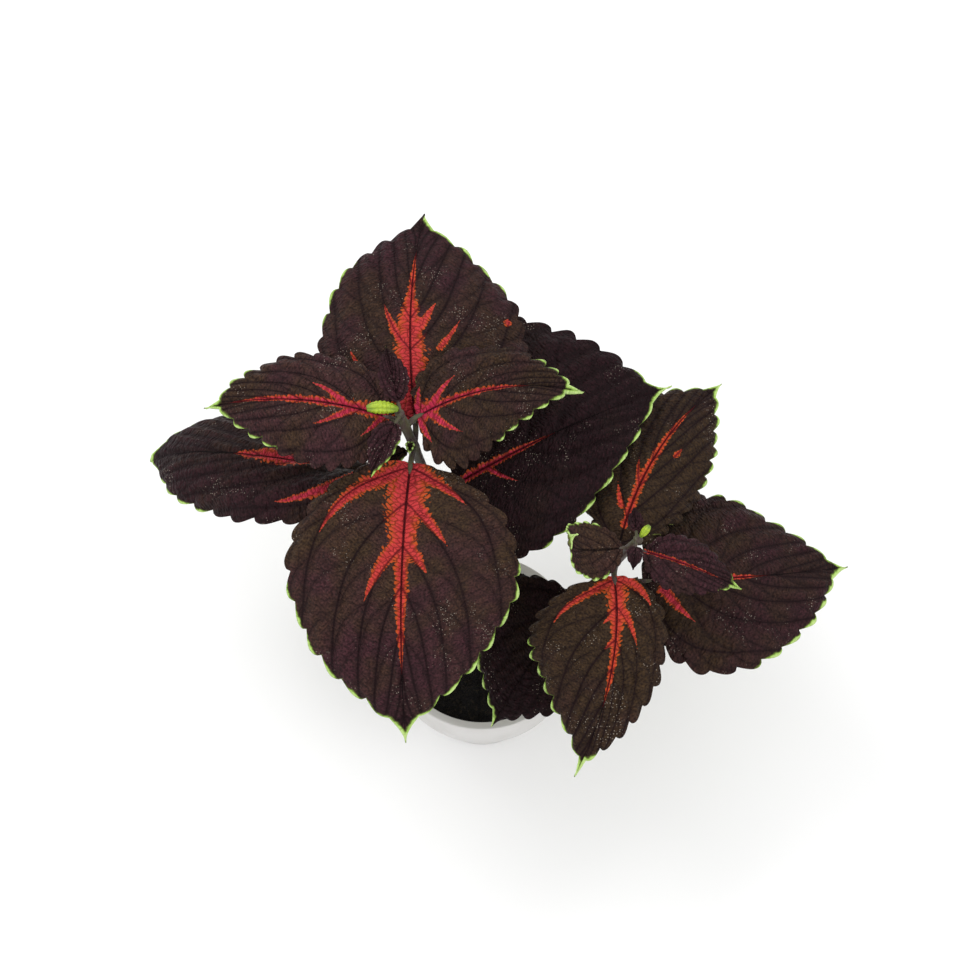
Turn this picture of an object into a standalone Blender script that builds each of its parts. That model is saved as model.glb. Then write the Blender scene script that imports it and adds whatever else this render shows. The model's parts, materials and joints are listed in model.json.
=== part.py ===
"""Potted coleus: two leafy shoots of one plant, standing in the soil of a small tapered pot.

Metres, +Z up. The origin is on the surface that the pot stands on, at the middle of the pot.
"""

import math
from typing import NamedTuple

import bmesh
import bpy
import numpy as np
from mathutils import noise

# Pot, a thin moulded shell with a sloped lip and a hanging skirt
POT_HEIGHT = 0.080
RIM_RADIUS = 0.0525
COLLAR_HEIGHT = 0.028
COLLAR_DRAFT = 0.0022
SKIRT = 0.0016
LIP_WIDTH = 0.0045
LIP_DROP = 0.0012
WALL = 0.0018
FOOT_RADIUS = 0.033
FLOOR_RISE = 0.002
FLOOR_THICKNESS = 0.002
RIM_CHAMFER = 0.0006
FOOT_CHAMFER = 0.001
FOOT_WIDTH = 0.004
PAD_RADIUS = 0.010
DRAIN_RADIUS = 0.0035
DRAIN_RING_RADIUS = 0.0195
DRAIN_COUNT = 6
ROUND_STEPS = 48

# Soil
SOIL_LEVEL = 0.067
SOIL_RINGS = 7
SOIL_LUMPS = 0.0022
SOIL_COARSE_GRAIN = 70.0
SOIL_FINE_GRAIN = 190.0
GAP = 0.0003

# Blade outline, as powers of the share of the way from base to tip
BASE_POWER = 0.68
TIP_POWER = 1.0
TIP_BEAK = 0.08
BEAK_POWER = 16
VEIN_BEND = 1.9
VEIN_EVEN = 0.12
TOOTH_ROUND = 0.6
BLADE_THICKNESS = 0.0008
INNER_COLUMN = 0.55
BEAK_COLUMN = 0.30
BEAK_MARGIN = 0.0004
MIDRIB_STEPS = 64
MARGIN_STEPS = 400

# Leaf stalk, which runs on as a rib under the blade
STALK_RINGS = 5
STALK_FOOT = 1.2
STALK_BEND = 0.35
RIB_TIP_SHARE = 0.15
KEEL = 1.3

# Stems
STEM_SIDES = 8
STEM_SQUARENESS = 0.88
STEM_RINGS = 14


class Leaf(NamedTuple):
    """One leaf: where it grows, its size, and how its blade is held.

    Angles are in degrees. A positive skew makes a blade's right half the wider one, and a positive slant
    sweeps that half back and the left half forwards.
    """

    name: str
    stem: str
    share: float
    azimuth: float
    petiole: float
    rise: float
    length: float
    width: float
    pitch: float
    droop: float
    swing: float = 0.0
    sweep: float = 0.0
    roll: float = 0.0
    twist: float = 0.0
    fold: float = 0.0
    curl: float = 0.0
    skew: float = 0.0
    slant: float = 0.0
    teeth: int = 13
    tooth_depth: float = 0.0028
    base_power: float = BASE_POWER
    tip_power: float = TIP_POWER
    beak: float = TIP_BEAK
    droop_power: float = 1.0
    stalk_radius: float = 0.0015


LEAVES = (
    Leaf("leaf_main_upper_west", "main", 0.96, 161, 0.009, 30, 0.104, 0.064, 4, -32, swing=2,
         sweep=19, fold=10, curl=-25, skew=-0.11, slant=-0.2, base_power=0.5, tip_power=0.85),
    Leaf("leaf_main_upper_east", "main", 0.96, 30, 0.008, 18, 0.090, 0.063, 8, -25, swing=4,
         sweep=-37, fold=10, curl=-25, skew=0.12, slant=0.3, base_power=0.32, tip_power=0.9),
    Leaf("leaf_main_middle_north", "main", 0.88, 97, 0.012, 30, 0.130, 0.110, 15, -30, swing=-11,
         sweep=-17, curl=-20, skew=0.13, base_power=0.5, tip_power=0.68, beak=0.12),
    Leaf("leaf_main_middle_south", "main", 0.88, 264, 0.014, 25, 0.145, 0.120, 0, -40,
         sweep=11, curl=-20, base_power=0.55, tip_power=0.82),
    Leaf("leaf_main_lower_west", "main", 0.70, 170, 0.026, 25, 0.152, 0.084, 0, -60,
         sweep=-8, roll=-48, twist=62, curl=-50, skew=0.06, base_power=0.3, tip_power=0.5,
         droop_power=2.0),
    Leaf("leaf_main_lower_east", "main", 0.70, 26, 0.014, 25, 0.130, 0.130, 16, -28, swing=-21,
         curl=-5, skew=-0.17, slant=0.25, base_power=0.4, tip_power=0.92),
    Leaf("leaf_side_upper_east", "side", 0.95, -20, 0.008, 15, 0.054, 0.032, 8, -30,
         fold=10, curl=-30, teeth=10, tooth_depth=0.0015, stalk_radius=0.001),
    Leaf("leaf_side_upper_west", "side", 0.95, 188, 0.004, 25, 0.046, 0.032, 0, 150,
         teeth=11, tooth_depth=0.0013, droop_power=2.0, stalk_radius=0.001),
    Leaf("leaf_side_middle_north", "side", 0.84, 77, 0.008, 25, 0.124, 0.062, 4, -20, swing=-8,
         sweep=-34, curl=-20, skew=-0.02, tip_power=0.75),
    Leaf("leaf_side_middle_south", "side", 0.86, 276, 0.012, 25, 0.108, 0.071, 0, -40, swing=-14,
         sweep=-39, curl=-20, skew=0.27, base_power=0.5, tip_power=0.93, beak=0.1),
    Leaf("leaf_side_lower_east", "side", 0.70, -1, 0.026, 10, 0.117, 0.105, 5, -30,
         sweep=20, curl=-15, skew=-0.03, base_power=0.45, tip_power=0.88),
    Leaf("leaf_side_lower_west", "side", 0.64, 233, 0.006, 20, 0.084, 0.082, 0, -40,
         base_power=0.42, tip_power=0.9),
)

# Young leaves at each shoot's tip, placed as for the large leaves but grown from the knot on its crown
YOUNG = (
    Leaf("young_leaves_main", "main", 1.0, 103, 0.004, 30, 0.030, 0.018, 26, -15, fold=35, teeth=7,
         tooth_depth=0.0008, stalk_radius=0.0009),
    Leaf("young_leaves_main", "main", 1.0, 246, 0.004, 10, 0.031, 0.018, 3, -30, fold=35, teeth=7,
         tooth_depth=0.0008, stalk_radius=0.0009),
    Leaf("young_leaves_side", "side", 1.0, 95, 0.002, 30, 0.012, 0.009, 30, -20, fold=25, teeth=4,
         tooth_depth=0.0004, stalk_radius=0.0007),
    Leaf("young_leaves_side", "side", 1.0, 262, 0.003, 20, 0.013, 0.009, 15, -30, fold=25, teeth=4,
         tooth_depth=0.0004, stalk_radius=0.0007),
)

# Bud of unopened leaves on each knot: azimuth, pitch, length and radius
BUDS = {
    "main": (186, 14, 0.016, 0.0034),
    "side": (40, 45, 0.008, 0.0020),
}
BUD_SIDES = 10
BUD_RINGS = 8
BUD_RIDGES = 0.80
BUD_ARCH = 0.3
BUD_SEAT = 0.45

# Knot on each crown: height, radius, and its swelling as shares of both
KNOT_RADIUS = 0.0026
KNOT_HEIGHT = 0.0030
KNOT_SWELL = ((0.0, 0.75), (0.35, 1.0), (0.75, 0.95), (1.0, 0.6))


class Stem(NamedTuple):
    """One stem: its foot in the soil, a point that it bends towards, and its crown."""

    foot: tuple
    bend: tuple
    crown: tuple
    foot_radius: float
    crown_radius: float


STEMS = {
    "main": Stem((-0.006, 0.008, 0.040), (-0.014, 0.036, 0.140), (-0.041, 0.062, 0.230), 0.0042, 0.0024),
    "side": Stem((0.010, 0.000, 0.040), (0.046, -0.002, 0.125), (0.079, 0.006, 0.200), 0.0036, 0.0020),
}


def stem_point(stem, share):
    """Point at a share of the way up a stem's quadratic curve."""
    foot, bend, crown = (np.array(p) for p in (stem.foot, stem.bend, stem.crown))
    return (1 - share) ** 2 * foot + 2 * share * (1 - share) * bend + share**2 * crown


def stem_radius(stem, share):
    """Radius of a stem at a share of the way up."""
    return stem.foot_radius + (stem.crown_radius - stem.foot_radius) * share


def crown_run(stem):
    """Unit vector along which a stem reaches its crown."""
    run = stem_point(stem, 1.0) - stem_point(stem, 0.98)
    return run / np.linalg.norm(run)


def heading(azimuth, pitch):
    """Unit vector at an azimuth and a pitch, in radians."""
    level = math.cos(pitch)
    return np.array([level * math.cos(azimuth), level * math.sin(azimuth), math.sin(pitch)])


def petiole_heading(leaf):
    """Direction in which a leaf's stalk leaves the stem."""
    return heading(math.radians(leaf.azimuth + leaf.swing), math.radians(leaf.rise))


def blade_base(leaf):
    """Where a leaf's blade meets its stalk."""
    return stem_point(STEMS[leaf.stem], leaf.share) + leaf.petiole * petiole_heading(leaf)


def midrib(leaf, base=None):
    """Points, tangents, right-hand vectors and normals along a blade's midrib, at even steps."""
    point = blade_base(leaf) if base is None else np.array(base, dtype=float)
    rows = []
    step = leaf.length / MIDRIB_STEPS
    for i in range(MIDRIB_STEPS + 1):
        share = i / MIDRIB_STEPS
        azimuth = math.radians(leaf.azimuth + leaf.sweep * share)
        pitch = math.radians(leaf.pitch + leaf.droop * share**leaf.droop_power)
        roll = math.radians(leaf.roll + leaf.twist * share)
        along = heading(azimuth, pitch)
        level = np.array([math.sin(azimuth), -math.cos(azimuth), 0.0])
        upright = np.cross(level, along)
        right = level * math.cos(roll) + upright * math.sin(roll)
        rows.append((point.copy(), along, right, np.cross(right, along)))
        point = point + along * step
    return [np.array(column) for column in zip(*rows)]


def outline(share, leaf):
    """Blade margin without its teeth, in the flat: distance across and along, in metres."""
    along = np.sin(np.pi / 2 * share) ** 2
    widest = leaf.base_power / (leaf.base_power + leaf.tip_power)
    fullest = widest**leaf.base_power * (1 - widest) ** leaf.tip_power
    across = along**leaf.base_power * (1 - along) ** leaf.tip_power / fullest
    along = (along + leaf.beak * share**BEAK_POWER) / (1 + leaf.beak)
    return leaf.width / 2 * across, leaf.length * along


def margin(walked, leaf):
    """Toothed blade margin at shares of its own length, and the midrib's place that each vein leaves."""
    share = np.linspace(0, 1, MARGIN_STEPS)
    across, along = outline(share, leaf)
    lengths = np.concatenate([[0], np.cumsum(np.hypot(np.diff(across), np.diff(along)))])
    walked = np.asarray(walked, dtype=float)
    x = np.interp(walked * lengths[-1], lengths, across)
    y = np.interp(walked * lengths[-1], lengths, along)
    ahead = np.clip(walked + 0.01, 0, 1) * lengths[-1]
    behind = np.clip(walked - 0.01, 0, 1) * lengths[-1]
    run_x = np.interp(ahead, lengths, across) - np.interp(behind, lengths, across)
    run_y = np.interp(ahead, lengths, along) - np.interp(behind, lengths, along)
    run = np.hypot(run_x, run_y)
    fade = np.clip(walked * 8, 0, 1) * np.clip((1 - walked) * 6, 0, 1)
    tooth = leaf.tooth_depth * fade * (np.abs(np.sin(np.pi * walked * leaf.teeth)) ** TOOTH_ROUND - 0.5)
    tooth = np.where((walked <= 0) | (walked >= 1), 0, tooth)
    vein = leaf.length * (VEIN_EVEN * walked + (1 - VEIN_EVEN) * (y / leaf.length) ** VEIN_BEND)
    return x + tooth * run_y / run, y - tooth * run_x / run, vein


def placed(flat_across, flat_along, leaf, frames):
    """Flat blade points bent on to the leaf's own curve. Points left of the midrib are negative."""
    points, tangents, right, normal = frames
    along = flat_along - leaf.slant * flat_across
    where = np.clip(along / leaf.length, 0, 1) * MIDRIB_STEPS
    low = np.clip(np.floor(where).astype(int), 0, MIDRIB_STEPS - 1)
    part = (where - low)[..., None]

    def picked(column):
        return column[low] + (column[low + 1] - column[low]) * part

    fold = math.radians(leaf.fold)
    turn = math.radians(leaf.curl + 0.001) / (leaf.width / 2)
    reach = np.abs(flat_across)
    sideways = (np.sin(fold + turn * reach) - math.sin(fold)) / turn * np.sign(flat_across)
    lift = (math.cos(fold) - np.cos(fold + turn * reach)) / turn
    behind = np.minimum(along, 0)[..., None] * tangents[0]
    return picked(points) + picked(right) * sideways[..., None] + picked(normal) * lift[..., None] + behind


def rib_width(leaf, along):
    """Half the width of the midrib at a distance along the blade."""
    return leaf.stalk_radius * (1 - (1 - RIB_TIP_SHARE) * along / leaf.length)


def tooth_triangles(near, far, edge, places):
    """Triangles from two veins' outer points to the tooth between them, none thin or turned over."""
    splits = []
    for split in range(len(edge)):
        triangles = [(near, edge[k], edge[k + 1]) for k in range(split)]
        triangles += [(near, edge[split], far)]
        triangles += [(far, edge[k], edge[k + 1]) for k in range(split, len(edge) - 1)]
        splits.append([t for t in triangles if len(set(t)) == 3])
    side = math.copysign(1, places[edge[1]][0])

    def turn(triangle):
        a, b, c = (places[corner] for corner in triangle)
        return side * ((b[0] - a[0]) * (c[1] - a[1]) - (b[1] - a[1]) * (c[0] - a[0]))

    return max(splits, key=lambda triangles: min(turn(t) for t in triangles))


def blade_mesh(leaf, frames):
    """Blade's middle surface: points, keel depths, triangles, and its outer edge from base to base."""
    places, keels, index, faces = [], [], {}, []

    def corner(key, x, y, keel=0.0):
        if key not in index:
            index[key] = len(places)
            places.append((x, y))
            keels.append(keel)
        return index[key]

    def point(side, row, column):
        if row == leaf.teeth:
            return corner("tip", 0.0, leaf.length)
        x, y, vein = (float(v) for v in margin(row / leaf.teeth, leaf))
        if column == 0:
            return corner(("mid", row), 0.0, vein, rib_width(leaf, vein) * KEEL)
        if column == 1 or row == 0:
            return corner((side, row), side * rib_width(leaf, vein), vein)
        inner = BEAK_COLUMN if row == leaf.teeth - 1 else INNER_COLUMN
        reach = inner if column < rim else 1.0
        across = max(x * (1 + side * leaf.skew), rib_width(leaf, vein) + BEAK_MARGIN)
        return corner((side, row, column), side * across * reach, vein + (y - vein) * reach)

    def face(side, corners):
        kept = [c for i, c in enumerate(corners) if c != corners[i - 1]]
        for i in range(1, len(kept) - 1):
            triangle = (kept[0], kept[i], kept[i + 1])
            faces.append(triangle if side > 0 else triangle[::-1])

    rim = 3
    edges = {-1: [], 1: []}
    for side in (-1, 1):
        for row in range(leaf.teeth):
            for column in range(rim - 1):
                face(side, [point(side, row, column), point(side, row, column + 1),
                            point(side, row + 1, column + 1), point(side, row + 1, column)])
            edge = [point(side, row + k / 3, rim) for k in range(4)]
            near, far = point(side, row, rim - 1), point(side, row + 1, rim - 1)
            for triangle in tooth_triangles(near, far, edge, places):
                face(side, list(triangle))
            edges[side] += edge[:3]
    flat = np.array(places)
    points = placed(flat[:, 0], flat[:, 1], leaf, frames)
    rim_loop = edges[1] + [index["tip"]] + edges[-1][::-1]
    return points, np.array(keels), faces, rim_loop, index[("mid", 0)]


def surface_normals(points, faces):
    """Unit normals at the points of a triangle mesh."""
    corners = np.array(faces)
    a, b, c = (points[corners[:, k]] for k in range(3))
    crossed = np.cross(b - a, c - a)
    normals = np.zeros_like(points)
    for k in range(3):
        np.add.at(normals, corners[:, k], crossed)
    return normals / np.linalg.norm(normals, axis=1)[:, None]


def stalk_rings(leaf, frames, start):
    """Rings of six points from a blade's base back to the stem, clockwise seen from the blade."""
    base, along, out = frames[0][0], frames[1][0], petiole_heading(leaf)
    reach = np.linalg.norm(base - start) * STALK_BEND
    handles = [base, base - along * reach, start + out * reach, start]
    rings = []
    for k in range(1, STALK_RINGS + 1):
        t = k / STALK_RINGS
        weights = [(1 - t) ** 3, 3 * t * (1 - t) ** 2, 3 * t**2 * (1 - t), t**3]
        centre = sum(w * h for w, h in zip(weights, handles))
        slopes = [(1 - t) ** 2, 2 * t * (1 - t), t**2]
        run = sum(w * (a - b) for w, a, b in zip(slopes, handles, handles[1:]))
        run = run / np.linalg.norm(run)
        right = np.cross(run, [0.0, 0.0, 1.0])
        right = right / np.linalg.norm(right)
        over = np.cross(right, run)
        radius = leaf.stalk_radius * (1 + (STALK_FOOT - 1) * t)
        turns = [math.radians(a) for a in (150, 90, 30, -30, -90, -150)]
        rings.append([centre + radius * (math.cos(a) * right + math.sin(a) * over) for a in turns])
    return rings


def leaf_body(leaf, base=None, start=None):
    """One leaf as a closed body: a blade of even thickness with a keeled midrib, and its stalk."""
    frames = midrib(leaf, base)
    points, keels, faces, rim_loop, middle = blade_mesh(leaf, frames)
    normals = surface_normals(points, faces)
    top = points + normals * BLADE_THICKNESS / 2
    under = points - normals * (BLADE_THICKNESS / 2 + keels)[:, None]
    verts = list(top) + list(under)
    count = len(points)
    solid = [tuple(f) for f in faces] + [tuple(c + count for c in f[::-1]) for f in faces]
    for a, b in zip(rim_loop, rim_loop[1:]):
        solid += [(a, a + count, b + count), (a, b + count, b)]
    right, left = rim_loop[0], rim_loop[-1]
    ring = [left, middle, right, right + count, middle + count, left + count]
    for places in stalk_rings(leaf, frames, stalk_start(leaf) if start is None else start):
        lower = [len(verts) + k for k in range(6)]
        verts += places
        for k in range(6):
            after = (k + 1) % 6
            solid += [(ring[k], lower[k], lower[after]), (ring[k], lower[after], ring[after])]
        ring = lower
    solid += [(ring[0], ring[k + 1], ring[k]) for k in range(1, 5)]
    return mesh_object(leaf.name, verts, solid)


def mesh_object(name, points, faces):
    """Object with a mesh made of points and faces."""
    mesh = bpy.data.meshes.new(name)
    mesh.from_pydata([tuple(p) for p in points], [], faces)
    model = bpy.data.objects.new(name, mesh)
    bpy.context.scene.collection.objects.link(model)
    return model


def tube(name, points, radii, sides, squareness=1.0):
    """Closed tube round a rising path; a squareness under 1 draws its section towards a square."""
    runs = np.gradient(points, axis=0)
    verts, faces = [], []
    for centre, run, radius in zip(points, runs, radii):
        across = np.cross(run, [0.0, 1.0, 0.0])
        across = across / np.linalg.norm(across)
        over = np.cross(across, run / np.linalg.norm(run))
        for k in range(sides):
            angle = 2 * math.pi * k / sides
            reach = radius * (squareness if k % 2 == 0 else 1.0)
            verts.append(centre + reach * (math.cos(angle) * across + math.sin(angle) * over))
    for ring in range(len(points) - 1):
        for k in range(sides):
            a, b = ring * sides + k, ring * sides + (k + 1) % sides
            faces.append((a, b, b + sides, a + sides))
    faces.append(tuple(range(sides))[::-1])
    faces.append(tuple((len(points) - 1) * sides + k for k in range(sides)))
    model = mesh_object(name, verts, faces)
    turn_outwards(model)
    smooth(model)
    return model


def stem_path(stem):
    """Points up a stem, and its radius at each."""
    shares = np.linspace(0, 1, STEM_RINGS)
    points = np.array([stem_point(stem, share) for share in shares])
    return points, [stem_radius(stem, share) for share in shares]


def make_stem(name, stem):
    """One stem, four-square as on any plant of the mint family."""
    points, radii = stem_path(stem)
    model = tube("stem_" + name, points, radii, STEM_SIDES, STEM_SQUARENESS)
    paint(model, "stem_skin", (0.13, 0.10, 0.06), 0.55)
    return model


def make_knot(name, stem):
    """Small knot of young growth that closes a stem."""
    shares, swell = np.array(KNOT_SWELL).T
    points = stem_point(stem, 1.0) + np.outer(GAP + shares * KNOT_HEIGHT, crown_run(stem))
    return tube(name, points, KNOT_RADIUS * swell, STEM_SIDES)


def make_young(name, stem):
    """Knot and the young leaves on it, in one body."""
    middle = stem_point(stem, 1.0) + np.array([0, 0, GAP + KNOT_HEIGHT / 2])
    bodies = [make_knot("knot_" + name, stem)]
    for leaf in YOUNG:
        if leaf.stem == name:
            out = petiole_heading(leaf)
            base, start = middle + out * (KNOT_RADIUS + leaf.petiole), middle + out * KNOT_RADIUS / 2
            bodies.append(leaf_body(leaf, base, start))
    for body in bodies:
        turn_outwards(body)
    model = fuse("young_leaves_" + name, bodies)
    paint(model, "young_blade", (0.060, 0.025, 0.050), 0.5)
    return model


def make_bud(name, stem):
    """Ridged bud of unopened leaves, seated on its knot."""
    azimuth, pitch, length, radius = BUDS[name]
    run = crown_run(stem)
    start = stem_point(stem, 1.0) + run * (2 * GAP + KNOT_HEIGHT + radius * BUD_SEAT)
    lean = heading(math.radians(azimuth), math.radians(pitch))
    shares = np.linspace(0, 1, BUD_RINGS)
    swell = radius * (0.2 + 0.8 * np.sin(np.pi * (0.06 + 0.86 * shares)) ** 0.8)
    path = np.array([start + run * length * BUD_ARCH * t * (1 - t) + lean * length * t for t in shares])
    model = tube("bud_" + name, path, swell, BUD_SIDES, BUD_RIDGES)
    paint(model, "bud_skin", (0.45, 0.62, 0.05), 0.45)
    return model


def revolve(name, profile, material, colour, roughness):
    """Body turned from a closed profile of radii and heights by a Screw modifier."""
    mesh = bpy.data.meshes.new(name)
    count = len(profile)
    mesh.from_pydata([(r, 0.0, z) for r, z in profile], [(k, (k + 1) % count) for k in range(count)], [])
    model = bpy.data.objects.new(name, mesh)
    bpy.context.scene.collection.objects.link(model)
    screw = model.modifiers.new("Turn", "SCREW")
    screw.steps = ROUND_STEPS
    screw.render_steps = ROUND_STEPS
    screw.use_merge_vertices = True
    screw.merge_threshold = 0.00001
    screw.use_smooth_shade = True
    paint(model, material, colour, roughness)
    return model


def wall_radius(height):
    """Outer radius of the pot's tapered wall at a height."""
    top = RIM_RADIUS - LIP_WIDTH + WALL
    return FOOT_RADIUS + (top - FOOT_RADIUS) * height / POT_HEIGHT


def make_pot():
    """Pot: tapered wall, sloped lip, hanging skirt, ring foot and a middle pad, with drain holes between."""
    lip = POT_HEIGHT - LIP_DROP
    skirt_foot = POT_HEIGHT - COLLAR_HEIGHT
    under = POT_HEIGHT - 2 * SKIRT
    floor_top = FLOOR_RISE + FLOOR_THICKNESS
    profile = [
        (RIM_RADIUS - RIM_CHAMFER, POT_HEIGHT),
        (RIM_RADIUS, POT_HEIGHT - RIM_CHAMFER),
        (RIM_RADIUS - COLLAR_DRAFT, skirt_foot),
        (RIM_RADIUS - COLLAR_DRAFT - SKIRT, skirt_foot),
        (RIM_RADIUS - SKIRT, under),
        (wall_radius(under), under),
        (wall_radius(FOOT_CHAMFER), FOOT_CHAMFER),
        (FOOT_RADIUS - FOOT_CHAMFER, 0.0),
        (FOOT_RADIUS - FOOT_WIDTH, 0.0),
        (FOOT_RADIUS - FOOT_WIDTH - FLOOR_RISE / 2, FLOOR_RISE),
        (PAD_RADIUS + FLOOR_RISE / 2, FLOOR_RISE),
        (PAD_RADIUS, 0.0),
        (0.0, 0.0),
        (0.0, floor_top),
        (wall_radius(floor_top) - WALL - FOOT_CHAMFER, floor_top),
        (wall_radius(floor_top + FOOT_CHAMFER) - WALL, floor_top + FOOT_CHAMFER),
        (wall_radius(lip) - WALL, lip),
    ]
    pot = revolve("pot", profile, "pot_plastic", (0.80, 0.80, 0.79), 0.45)
    drains = []
    for k in range(DRAIN_COUNT):
        angle = 2 * math.pi * k / DRAIN_COUNT
        bpy.ops.mesh.primitive_cylinder_add(
            vertices=16, radius=DRAIN_RADIUS, depth=4 * floor_top,
            location=(DRAIN_RING_RADIUS * math.cos(angle), DRAIN_RING_RADIUS * math.sin(angle), FLOOR_RISE))
        drains.append(bpy.context.object)
    cut(pot, gathered("drains", drains))
    return pot


def cut(model, tools):
    """Take a collection's bodies out of an object, and remove them."""
    boolean = model.modifiers.new("Cut", "BOOLEAN")
    boolean.operation = "DIFFERENCE"
    boolean.operand_type = "COLLECTION"
    boolean.collection = tools
    apply_modifiers(model)
    for tool in list(tools.objects):
        bpy.data.objects.remove(tool)
    bpy.data.collections.remove(tools)


def soil_height(x, y, reach):
    """Height of the soil's lumpy top, level at its edge."""
    coarse = noise.noise((x * SOIL_COARSE_GRAIN, y * SOIL_COARSE_GRAIN, 0.0))
    fine = noise.noise((x * SOIL_FINE_GRAIN, y * SOIL_FINE_GRAIN, 0.0))
    return SOIL_LEVEL + SOIL_LUMPS * (coarse + fine / 2) * (1 - reach**6)


def make_soil():
    """Soil that fills the pot, with plain holes where the stems stand."""
    bottom = FLOOR_RISE + FLOOR_THICKNESS + GAP
    low_edge = wall_radius(bottom + FOOT_CHAMFER) - WALL - 2 * GAP
    high_edge = wall_radius(SOIL_LEVEL) - WALL - GAP
    verts = [(0.0, 0.0, bottom), (0.0, 0.0, soil_height(0.0, 0.0, 0.0))]
    rings = [(high_edge * k / SOIL_RINGS, None) for k in range(1, SOIL_RINGS + 1)]
    rings += [(low_edge, bottom + FOOT_CHAMFER), (low_edge - FOOT_CHAMFER, bottom)]
    for radius, height in rings:
        for k in range(ROUND_STEPS):
            angle = 2 * math.pi * k / ROUND_STEPS
            x, y = radius * math.cos(angle), radius * math.sin(angle)
            level = soil_height(x, y, radius / high_edge) if height is None else height
            verts.append((x, y, level))
    faces = []
    for k in range(ROUND_STEPS):
        after = (k + 1) % ROUND_STEPS
        faces.append((1, 2 + k, 2 + after))
        for ring in range(len(rings) - 1):
            a, b = 2 + ring * ROUND_STEPS + k, 2 + ring * ROUND_STEPS + after
            faces.append((a, a + ROUND_STEPS, b + ROUND_STEPS, b))
        last = 2 + (len(rings) - 1) * ROUND_STEPS
        faces.append((0, last + after, last + k))
    soil = mesh_object("soil", verts, faces)
    turn_outwards(soil)
    holes = []
    for name, stem in STEMS.items():
        points, radii = stem_path(stem)
        points[0] -= (points[1] - points[0]) / np.linalg.norm(points[1] - points[0]) * GAP
        holes.append(tube("hole_" + name, points, [r + GAP for r in radii], STEM_SIDES, STEM_SQUARENESS))
    cut(soil, gathered("holes", holes))
    paint(soil, "soil", (0.012, 0.011, 0.011), 0.95)
    return soil


def turn_outwards(model):
    """Make an evenly wound closed mesh's faces point outwards."""
    mesh = bmesh.new()
    mesh.from_mesh(model.data)
    bmesh.ops.triangulate(mesh, faces=[f for f in mesh.faces if len(f.verts) > 4])
    if mesh.calc_volume(signed=True) < 0:
        bmesh.ops.reverse_faces(mesh, faces=mesh.faces)
    mesh.to_mesh(model.data)
    mesh.free()


def smooth(model):
    """Shade a round piece smooth."""
    for face in model.data.polygons:
        face.use_smooth = True


def gathered(name, pieces):
    """Collection that holds the given objects and nothing else."""
    collection = bpy.data.collections.new(name)
    bpy.context.scene.collection.children.link(collection)
    for piece in pieces:
        for old in list(piece.users_collection):
            old.objects.unlink(piece)
        collection.objects.link(piece)
    return collection


def fuse(name, pieces):
    """Join closed pieces into one body by a Boolean union."""
    first, others = pieces[0], pieces[1:]
    operands = gathered(name + "_pieces", others)
    union = first.modifiers.new("Union", "BOOLEAN")
    union.operation = "UNION"
    union.operand_type = "COLLECTION"
    union.collection = operands
    union.solver = "MANIFOLD"
    apply_modifiers(first)
    for piece in others:
        bpy.data.objects.remove(piece)
    bpy.data.collections.remove(operands)
    first.name = name
    return first


def apply_modifiers(model):
    """Replace an object's mesh by what its modifiers make of it."""
    evaluated = model.evaluated_get(bpy.context.evaluated_depsgraph_get())
    mesh = bpy.data.meshes.new_from_object(evaluated)
    model.modifiers.clear()
    model.data = mesh


def stalk_start(leaf):
    """Point just clear of the stem where a leaf's stalk begins."""
    stem = STEMS[leaf.stem]
    out = petiole_heading(leaf)
    run = stem_point(stem, leaf.share + 0.01) - stem_point(stem, leaf.share - 0.01)
    lean = abs(float(out @ run)) / np.linalg.norm(run)
    clear = stem_radius(stem, leaf.share) + GAP + STALK_FOOT * leaf.stalk_radius * lean
    return stem_point(stem, leaf.share) + out * clear / math.sqrt(1 - lean**2)


def make_leaf(leaf):
    """One leaf, blade and stalk in one body."""
    model = leaf_body(leaf)
    turn_outwards(model)
    paint(model, "blade_" + leaf.name, (0.045, 0.022, 0.024), 0.5)
    return model


def paint(model, name, colour, roughness):
    """Give an object its own Principled material."""
    material = bpy.data.materials.new(name)
    material.use_nodes = True
    shader = material.node_tree.nodes["Principled BSDF"]
    shader.inputs["Base Color"].default_value = (*colour, 1)
    shader.inputs["Roughness"].default_value = roughness
    material.diffuse_color = (*colour, 1)
    model.data.materials.clear()
    model.data.materials.append(material)


def main():
    """Build the part."""
    for old in list(bpy.data.objects):
        bpy.data.objects.remove(old)
    make_pot()
    make_soil()
    for name, stem in STEMS.items():
        make_stem(name, stem)
        make_young(name, stem)
        make_bud(name, stem)
    for leaf in LEAVES:
        make_leaf(leaf)


main()
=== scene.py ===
"""Potted coleus, dressed on its fixed frame: grown leaves, young growth, stems, soil and a moulded pot.

Metres, +Z up. The origin is on the surface that the pot stands on, at the middle of the pot.
"""

import json
import logging
import math
from dataclasses import dataclass, field
from enum import Enum
from typing import Union

import bpy
import numpy as np
from mathutils import Matrix, Vector, noise

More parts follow.
